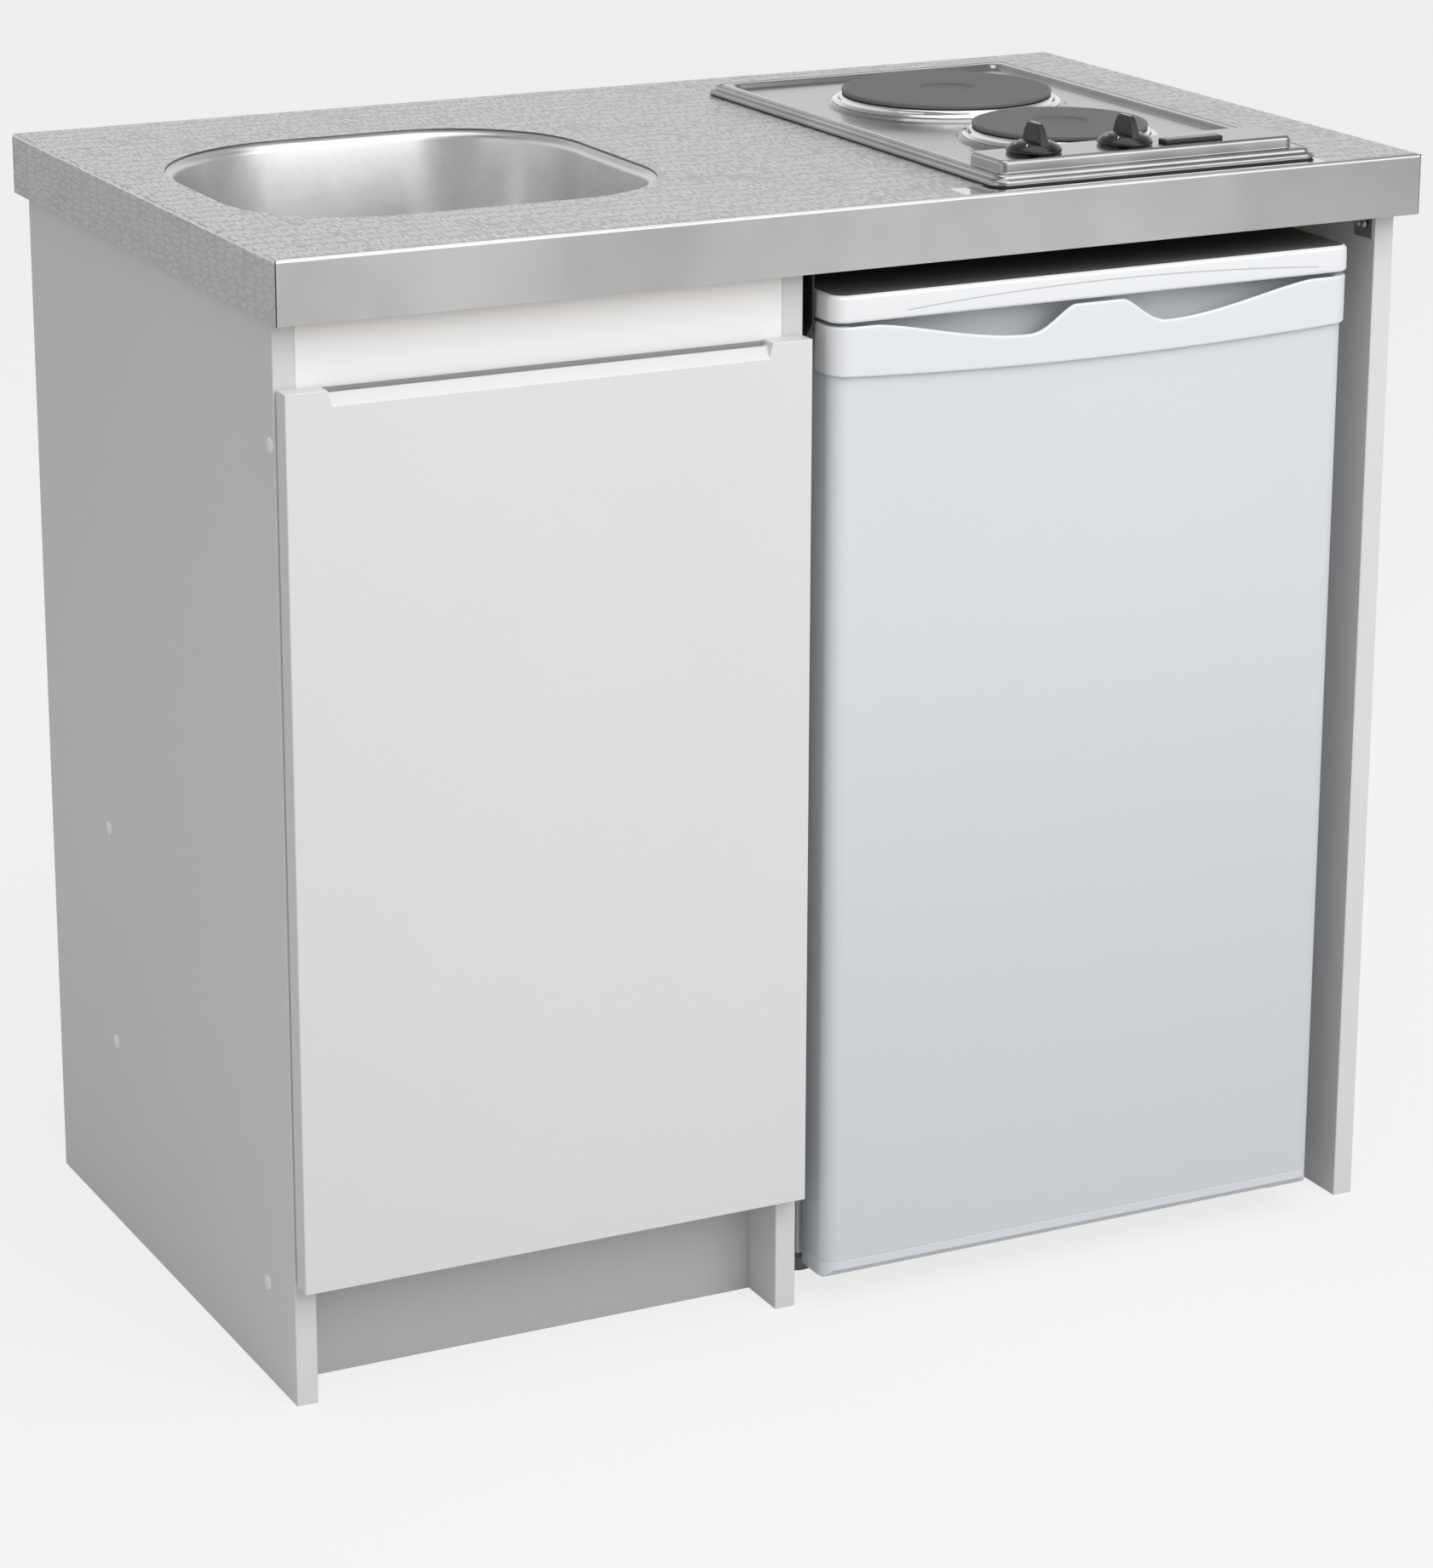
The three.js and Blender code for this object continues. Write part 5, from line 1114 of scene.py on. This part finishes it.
@dataclass
class Hob:
    """The pressed hob top with its control box, plates, knobs, seal and housing."""

    rim: Plan = Plan((110, 412), (-285, 225), (13,) * 4)
    box: Plan = Plan((121, 393), (-274, -220), (7,) * 4)
    tray: Plan = Plan((127, 395), (-215, 208), (9,) * 4)
    seal_top: float = 921.5
    lip: float = 4
    lip_radius: float = 2.2
    step: float = 3.5
    box_top: float = 939
    floor: float = 925
    seat: float = 927.5
    sheet: float = 1.2
    spindle_hole: float = 5.2
    stud: tuple[float, float] = (120.8, 214)
    badge: tuple[Span, Span] = ((278, 332), (-264, -252))
    plates: tuple[Plate, ...] = (Plate("small", 72.5, -127), Plate("large", 90, 63))
    knobs: tuple[Knob, ...] = (Knob("left", Body.KNOB_LEFT, 166), Knob("right", Body.KNOB_RIGHT, 250))

    def build(self) -> None:
        """Presses the top and sets the fittings on it."""
        self._pressing()
        for fitting in (*self.plates, *self.knobs):
            fitting.build()
        self._badge()
        dressed(SEAL_RUBBER, "hob_seal", "switch_left", "switch_right")
        dressed(ZINC, "hob_housing")

    def _pressing(self) -> None:
        """Lofts lip, step, side bead, tray, plate seats and control box as one sheet."""
        form = Form()
        lip_top, radius = self.seal_top + self.lip, self.lip_radius
        top, box_top, floor = lip_top + self.step, self.box_top, self.floor
        profile = [(0, self.seal_top), (0, lip_top - radius)]
        profile += [(-radius * (1 - cos), lip_top - radius * (1 - sin))
                    for cos, sin in quarter((0.3, 0.6, 0.85, 1.0))]
        profile += [(-3.6, lip_top), (-4.0, lip_top + 0.25), (-4.3, lip_top + 0.9), (-4.5, top - 1.9),
                    (-4.9, top - 0.9), (-5.6, top - 0.25), (-6.6, top), (-7.4, top), (-7.9, top - 0.45),
                    (-8.6, top - 0.55), (-9.2, top - 0.1), (-9.7, top)]
        rim = self.rim.rings(form, profile)
        form.loft(rim)
        tray = self.tray.rings(form, (
            (2.4, top), (1.3, top - 0.2), (0, top - 0.9), (-2.2, floor + 0.9), (-3.4, floor + 0.2),
            (-4.8, floor)))
        form.loft(tray)
        box = self.box.rings(form, (
            (0.8, top), (0.2, top + 0.3), (0, top + 1), (-0.2, box_top - 3), (-0.6, box_top - 1.6),
            (-1.4, box_top - 0.6), (-2.6, box_top - 0.1), (-3.6, box_top)))
        form.loft(box)
        form.fill(rim[-1], tray[0], box[0])
        holes = [form.circle((knob.x, knob.y), self.spindle_hole, box_top, 20) for knob in self.knobs]
        form.fill(box[-1], *holes)
        seats = []
        seat_profile = ((13.4, floor), (12.6, floor + 0.25), (11.2, self.seat - 0.3), (10.2, self.seat),
                        (-3, self.seat), (-3, self.seat - self.sheet))
        for plate in self.plates:
            rise = [form.circle((plate.x, plate.y), plate.radius + past, z, 96) for past, z in seat_profile]
            form.loft(rise)
            seats.append(rise[0])
        form.fill(tray[-1], *seats)
        form.piece("hob_pressing", Body.UNIT, HOB_STEEL, ("hob_top",), facing=(0, 0, 1), sharp=50)

        dot = Form()
        dot.turned([(0, 0.9), (2.2, 0.7), (3.2, 0.1), (3.5, 0), (3.5, -0.4), (0, -0.4)],
                   (*self.stud, top), 32)
        dot.piece("hob_rear_stud", Body.UNIT, TRIM_STEEL)

    def _badge(self) -> None:
        """The bare bar beside the knobs, with its paler face."""
        across, deep = self.badge
        form = Form()
        bar = form.slab(across, deep, (self.box_top - 0.2, self.box_top + 3.2))
        form.round_edges(1.0, 3, 30, bar)
        form.piece("badge_bar", Body.UNIT, BADGE_PLASTIC)
        face = Form()
        face.slab(grown(across, -3.5), grown(deep, -2.5), (self.box_top + 3.1, self.box_top + 3.3))
        face.piece("badge_bar_face", Body.UNIT, BADGE_FACE)


# ------------------------------------------------------------------ carcass and door
@dataclass
class Carcass:
    """The white board carcass with its cover caps and brackets."""

    boards: tuple[str, ...] = ("side_panel_left", "side_panel_middle", "side_panel_right", "base_panel",
                               "back_panel")
    rails: tuple[str, ...] = ("front_rail", "rear_rail", "niche_rear_rail")
    caps: tuple[tuple[float, float], ...] = ((-265.5, 774), (130, 358), (130, 167), (-217, 83))
    panel_x: float = -494
    screw_x: float = 472.6
    screw_z: float = 858
    screws: tuple[float, float] = (-262, -254)

    def build(self) -> None:
        """Eases the boards' edges and adds the small fittings."""
        # the rails take a lighter copy of the board as painted light, the plinth a darker copy as painted
        # shade
        wearers = {SIDE_BOARD: self.boards, RAIL_PAINTED_LIGHT: self.rails, PLINTH_PAINTED_SHADE: ("plinth_board",)}
        for board, names in wearers.items():
            for name in names:
                carried_over(name, Body.UNIT, board, bevel=0.7)
        form = Form()
        for y, z in self.caps:
            form.turned([(0, -1.5), (3.2, -1.5), (5.2, -1.2), (6.1, -0.6), (6.3, 0), (6.3, 0.5), (0, 0.5)],
                        (self.panel_x, y, z), 32, Axis.X)
        form.piece("cover_caps", Body.UNIT, CAP_PLASTIC)
        carried_over("bracket_middle", Body.UNIT, DARK_STEEL, bevel=0.4)
        carried_over("bracket_right", Body.UNIT, ZINC, bevel=0.4)
        screws = Form()
        for y in self.screws:
            screws.turned([(0, -2.2), (1.6, -2.1), (3.2, -1.2), (3.6, 0), (0, 0)],
                          (self.screw_x, y, self.screw_z), 24, Axis.X)
        screws.piece("bracket_screws", Body.UNIT, ZINC)


@dataclass
class CupboardDoor:
    """The lacquered door with its grip and concealed hinges."""

    x: Span = (-492.5, -55.5)
    back_y: float = -276
    top: float = 818
    end_tab: float = 34
    tab_slope: float = 5
    groove: float = 22
    shade_strip_depth: Span = (-1.6, -0.2)

    def build(self) -> None:
        """Finishes the door and its hinges."""
        carried_over("door_panel", Body.CUPBOARD_DOOR, DOOR_PAINT, bevel=0.9, sharp=20)
        self._groove_wall()
        for level in ("lower", "upper"):
            carried_over(f"hinge_cup_{level}", Body.CUPBOARD_DOOR, ZINC, bevel=0.3, sharp=40)
            carried_over(f"hinge_arm_{level}", Body.UNIT, ZINC, bevel=0.4, sharp=30)

    def _groove_wall(self) -> None:
        """A grey strip that closes the grip's groove at the back, with its ends cut on the tabs' slant; its
        grey is painted shade for the groove's shadow.
        """
        form = Form()
        left, right = grown(self.x, 1 - self.end_tab)
        inner_left, inner_right = grown(self.x, -self.end_tab - self.tab_slope)
        low, high = self.top - self.groove - 1, self.top - 1.2
        form.drawn([(left, high), (inner_left, high - 10), (inner_left, low), (inner_right, low),
                    (inner_right, high - 10), (right, high)],
                   Axis.Y, tuple(self.back_y + part for part in self.shade_strip_depth))
        form.round_edges(0.3, 2)
        form.piece("grip_groove_shade_strip", Body.CUPBOARD_DOOR, GROOVE_PAINTED_SHADE)


# ------------------------------------------------------------------ refrigerator
@dataclass
class HandleBand:
    """The moulded band across the head of the door: its top edge dips on either side of a tab."""

    middle: float = 199
    half: float = 239
    front: float = -300
    wrap_y: float = -266
    corner: float = 16
    top: float = 825
    end_z: float = 786
    sag: float = 7
    dip: float = 20.5
    tab: float = 22
    dip_width: float = 42
    dip_curve: tuple[float, float] = (1.5, 2.2)
    shoulder: float = 36
    shoulder_curve: float = 0.75
    wall: float = 3.6
    round_over: float = 2.2
    columns: int = 220
    rows: int = 10

    def drop(self, away: float) -> float:
        """How far the top edge lies below the tab at this distance from the middle."""
        edge, low = self.half - self.shoulder, self.tab + self.dip_width
        if away <= self.tab or away >= edge:
            return 0.0
        if away < low:
            start, end = self.dip_curve
            share = (away - self.tab) / (low - self.tab)
            return self.dip * (1 - (1 - share ** start) ** end)
        share = (edge - away) / (edge - low)
        return self.dip * (share * share * (3 - 2 * share)) ** self.shoulder_curve

    def _path(self, along: float) -> tuple[float, float, float]:
        """A point of the band's plan.

        Args:
            along: Distance from the middle of the front, to the right.

        Returns:
            X, Y and the distance from the middle that its edges follow.
        """
        side = 1 if along >= 0 else -1
        run = abs(along)
        flat = self.half - self.corner
        bend = self.corner * math.pi / 2
        if run <= flat:
            x, y = run, self.front
        elif run <= flat + bend:
            angle = (run - flat) / self.corner
            x, y = flat + self.corner * math.sin(angle), self.front + self.corner * (1 - math.cos(angle))
        else:
            x, y = self.half, self.front + self.corner + (run - flat - bend)
        return self.middle + side * x, y, x

    def build(self) -> None:
        """Wraps a fine grid along the plan between the two edges and gives it its wall."""
        form = Form()
        reach = self.half - self.corner + self.corner * math.pi / 2 + (self.wrap_y - self.front - self.corner)
        verts = bmesh.ops.create_grid(form.bm, x_segments=self.columns, y_segments=self.rows, size=1)["verts"]
        for vert in verts:
            x, y, away = self._path(vert.co.x * reach)
            high = self.top - self.drop(away)
            low = self.end_z - self.sag * (1 - (away / self.half) ** 2)
            share = (vert.co.y + 1) / 2
            vert.co = (x, y, low + (high - low) * share)
        bmesh.ops.recalc_face_normals(form.bm, faces=form.bm.faces)
        form.bm.normal_update()
        if sum(f.normal.y for f in form.bm.faces) > 0:
            bmesh.ops.reverse_faces(form.bm, faces=form.bm.faces)
        shell = list(form.bm.verts) + list(form.bm.edges) + list(form.bm.faces)
        bmesh.ops.solidify(form.bm, geom=shell, thickness=self.wall)
        form.round_edges(self.round_over, 4, 50)
        form.piece("handle_band_moulding", Body.FRIDGE_DOOR, FRIDGE_MOULD, ("fridge_handle_band",), sharp=60)


@dataclass
class Refrigerator:
    """The under-counter refrigerator: cabinet, cap, door and what is inside and behind it."""

    cap: Plan = Plan((-40, 438), (-300, 199), (14,) * 4, least=2)
    cap_z: Span = (828, 850)
    cap_edge: float = 5
    liner: tuple[Span, Span, Span] = ((1, 397), (-400, 150), (71, 789))
    shell_at: Point = (239, 134, 32)
    shell_radius: float = 58
    shell_height: float = 148
    grommets: tuple[float, float] = (36, 32)

    def build(self) -> None:
        """Makes the cap and band new and finishes the rest."""
        self._cap()
        HandleBand().build()
        carried_over("fridge_door", Body.FRIDGE_DOOR, FRIDGE_PAINT, bevel=1.0, sharp=35, extra=(LINER,),
                     choose=lambda face: int(face.normal.y > 0.5))
        carried_over("fridge_door_sill", Body.FRIDGE_DOOR, FRIDGE_MOULD, bevel=1.0, sharp=35)
        carried_over("fridge_cabinet", Body.UNIT, FRIDGE_PAINT, bevel=1.2, sharp=35, extra=(LINER,),
                     choose=self._in_liner)
        for node, body, finish, bevel, sharp in (
            ("fridge_gasket", Body.FRIDGE_DOOR, GASKET, 1.6, 35),
            ("fridge_rack_lower", Body.FRIDGE_DOOR, LINER, 0.8, 35),
            ("fridge_rack_upper", Body.FRIDGE_DOOR, LINER, 0.8, 35),
            ("ice_box", Body.UNIT, ICE_METAL, 0.6, 32),
            ("thermostat_housing", Body.UNIT, LINER, 1.5, 32),
            ("condenser", Body.UNIT, DARK_STEEL, 1.1, 40),
        ):
            carried_over(node, body, finish, bevel, sharp)
        dressed(ZINC, "compressor_tray", "fridge_hinge_bottom", "fridge_hinge_top")
        dressed(GASKET, "fridge_foot_left", "fridge_foot_right")
        dressed(GLASS, "fridge_shelf_lower", "fridge_shelf_upper")
        dressed(LINER, "ice_flap", "thermostat_knob")
        self._compressor()

    def _compressor(self) -> None:
        """The compressor's drawn shell with its seam, on four grommets."""
        r, h = self.shell_radius, self.shell_height
        x, y, base = self.shell_at
        form = Form()
        form.turned([
            (0, 12), (r - 20, 12), (r - 12, 13.5), (r - 6, 17), (r - 3.6, 22), (r - 3, 28), (r - 3, 70),
            (r - 2.4, 71.6), (r, 72.4), (r, 77.6), (r - 2.4, 78.4), (r - 3, 80), (r - 3, h - 40),
            (r - 5, h - 29), (r - 10, h - 19), (r - 18, h - 10.5), (r - 28, h - 5), (r - 40, h - 1.5), (0, h),
        ], self.shell_at, 72)
        grommet = [(0, 0), (8.2, 0), (9, 1), (9, 5), (7.6, 6.4), (9, 7.8), (9, 15), (8, 16), (0, 16)]
        across, deep = self.grommets
        for i in (-1, 1):
            for j in (-1, 1):
                form.turned(grommet, (x + i * across, y + j * deep, base), 32)
        form.piece("compressor_shell", Body.UNIT, DARK_STEEL, ("compressor",), sharp=40)

    def _in_liner(self, face: BMFace) -> int:
        """1 where a face of the cabinet belongs to its liner."""
        at = face.calc_center_median() / MM
        return int(all(low < part < high for part, (low, high) in zip(at, self.liner)))

    def _cap(self) -> None:
        """The moulded cap: a rounded slab with soft edges above and below, and a near-black top as painted
        shade for the gap under the worktop.
        """
        form = Form()
        r, (low, high) = self.cap_edge, self.cap_z
        profile = [(-r, low), (-2.5, low + 0.05), (-1.2, low + 0.4), (-0.35, low + 1.3), (0, low + 2.8)]
        profile += [(-r * (1 - cos), high - r * (1 - sin))
                    for cos, sin in quarter(step / 5 for step in range(1, 6))]
        loops = self.cap.rings(form, (*profile, (-r - 2, high)))
        form.loft(loops)
        form.fill(loops[0])
        form.fill(loops[-1])

        def takes_painted_shade(face: BMFace) -> int:
            """1 on the cap's flat top, which takes the painted shade."""
            return int(face.normal.z > 0.98 and face.calc_center_median().z > (high - 0.3) * MM)

        form.piece("fridge_cap_moulding", Body.UNIT, (FRIDGE_CAP, CAP_PAINTED_SHADE), ("fridge_top_cap",), sharp=50,
                   choose=takes_painted_shade)


# ------------------------------------------------------------------ studio
@dataclass(frozen=True)
class Lamp:
    """A square soft lamp: where it hangs, what it points at, its side in metres and its power in watts."""

    name: str
    place: Point
    target: Point
    size: float
    power: float
    mirrored: bool = True

    def hang(self) -> None:
        """Adds the lamp to the scene."""
        data = bpy.data.lights.new(self.name, "AREA")
        data.shape, data.size, data.energy = "SQUARE", self.size, self.power
        lamp = placed(self.name, data)
        lamp.location = self.place
        lamp.visible_glossy = self.mirrored
        lamp.rotation_euler = (Vector(self.target) - Vector(self.place)).to_track_quat("-Z", "Y").to_euler()


@dataclass
class Studio:
    """Pale floor, soft lamps and the camera at the photograph's viewpoint."""

    ambient: float = 0.58
    overhead: float = 0.4
    behind_camera: float = 0.5
    window: float = 1.6
    window_way: Point = (0.4, -0.88, 0.24)
    upper_window_way: Point = (0.12, -0.72, 0.68)
    upper_share: float = 0.4
    floor_tone: float = 0.56
    floor_glow: float = 0.78
    lamps: tuple[Lamp, ...] = (
        Lamp("key_front_right", (0.6, -3.0, 2.9), (0.0, 0, 0.65), 3.4, 96, mirrored=False),
        Lamp("top_soft", (0.1, -0.5, 2.8), (0, 0, 0.86), 2.2, 19),
        Lamp("side_fill", (-3.2, -1.4, 1.5), (0, 0, 0.5), 1.8, 5),
    )
    lens: float = 106.706
    shift: tuple[float, float] = (0.04358, -0.08005)
    viewpoint: Point = (-1.70, -3.40, 1.585)
    right: Point = (0.90000355, -0.43588108, -0.00114035)
    up: Point = (0.12295629, 0.25136741, 0.96005009)
    ahead: Point = (0.41818102, 0.8641887, -0.27982588)

    def build(self) -> None:
        """Sets the stage."""
        self._world()
        self._floor()
        for lamp in self.lamps:
            lamp.hang()
        self._camera()
        bpy.context.scene.view_settings.view_transform = "Standard"

    def _world(self) -> None:
        """White to the camera, a room with soft windows to mirrored rays, an even grey to soft light."""
        world = bpy.data.worlds.new("studio")
        graph = Graph(world)
        coordinates = graph.node("ShaderNodeTexCoord")
        ways = graph.along(Wire(graph, coordinates.outputs["Generated"]))
        _, depth, height = ways
        path = graph.node("ShaderNodeLightPath")
        camera, glossy, clear = (Wire(graph, path.outputs[f"Is {kind} Ray"])
                                 for kind in ("Camera", "Glossy", "Transmission"))
        mirrored = glossy.math("MAXIMUM", glossy, clear)
        room = height.eased(0.05, 0.7, 1.0, self.overhead) * depth.eased(-0.4, 0.3, self.behind_camera, 1.0)
        upper = self.window * self.upper_share
        window = self._toward(ways, self.window_way).eased(0.84, 0.98, 0.0, self.window)
        above = self._toward(ways, self.upper_window_way).eased(0.78, 0.97, 0.0, upper)
        level = camera + (1 - camera) * (mirrored * (room + window + above) + (1 - mirrored) * self.ambient)
        back = graph.node("ShaderNodeBackground", {}, {"Color": (1, 1, 1, 1), "Strength": level})
        graph.end(back, "ShaderNodeOutputWorld")
        bpy.context.scene.world = world

    @staticmethod
    def _toward(ways: Sequence[Wire], way: Point) -> Wire:
        """How far a ray goes along a direction."""
        return ways[0] * way[0] + ways[1] * way[1] + ways[2] * way[2]

    def _floor(self) -> None:
        """A wide pale floor that keeps the unit's shadow."""
        form = Form()
        bmesh.ops.create_grid(form.bm, x_segments=4, y_segments=4, size=30)
        mesh = bpy.data.meshes.new("studio_floor")
        form.bm.to_mesh(mesh)
        form.bm.free()
        floor = placed("studio_floor", mesh)
        paint = bpy.data.materials.new("studio_floor_paint")
        graph = Graph(paint)
        haze = graph.noise(0.7, 2)
        diffuse = graph.node("ShaderNodeBsdfDiffuse", {}, {
            "Color": graph.colour(haze, (self.floor_tone,) * 3, (self.floor_tone + 0.02,) * 3)})
        glow = graph.node("ShaderNodeEmission", {}, {"Color": (1, 1, 1, 1), "Strength": 1.0})
        seen = Wire(graph, graph.node("ShaderNodeLightPath").outputs["Is Camera Ray"]) * self.floor_glow
        mix = graph.node("ShaderNodeMixShader", {}, {0: seen, 1: Wire(graph, diffuse.outputs[0]),
                                                      2: Wire(graph, glow.outputs[0])})
        graph.end(mix)
        mesh.materials.append(paint)

    def _camera(self) -> None:
        """The photograph's own viewpoint and lens."""
        data = bpy.data.cameras.new("view")
        data.sensor_width, data.lens = 36, self.lens
        data.shift_x, data.shift_y = self.shift
        data.clip_start, data.clip_end = 0.1, 200
        camera = placed("view", data)
        turn = Matrix((self.right, self.up, -Vector(self.ahead))).transposed()
        camera.matrix_world = Matrix.Translation(self.viewpoint) @ turn.to_4x4()
        bpy.context.scene.camera = camera


def main() -> None:
    """Builds the unit from the worktop down, then the studio."""
    logging.basicConfig(level=logging.INFO, format="%(name)s: %(message)s")
    basin = Basin()
    Worktop().build(basin)
    basin.build()
    Hob().build()
    Carcass().build()
    CupboardDoor().build()
    Refrigerator().build()
    Studio().build()


if __name__ == "__main__":
    main()
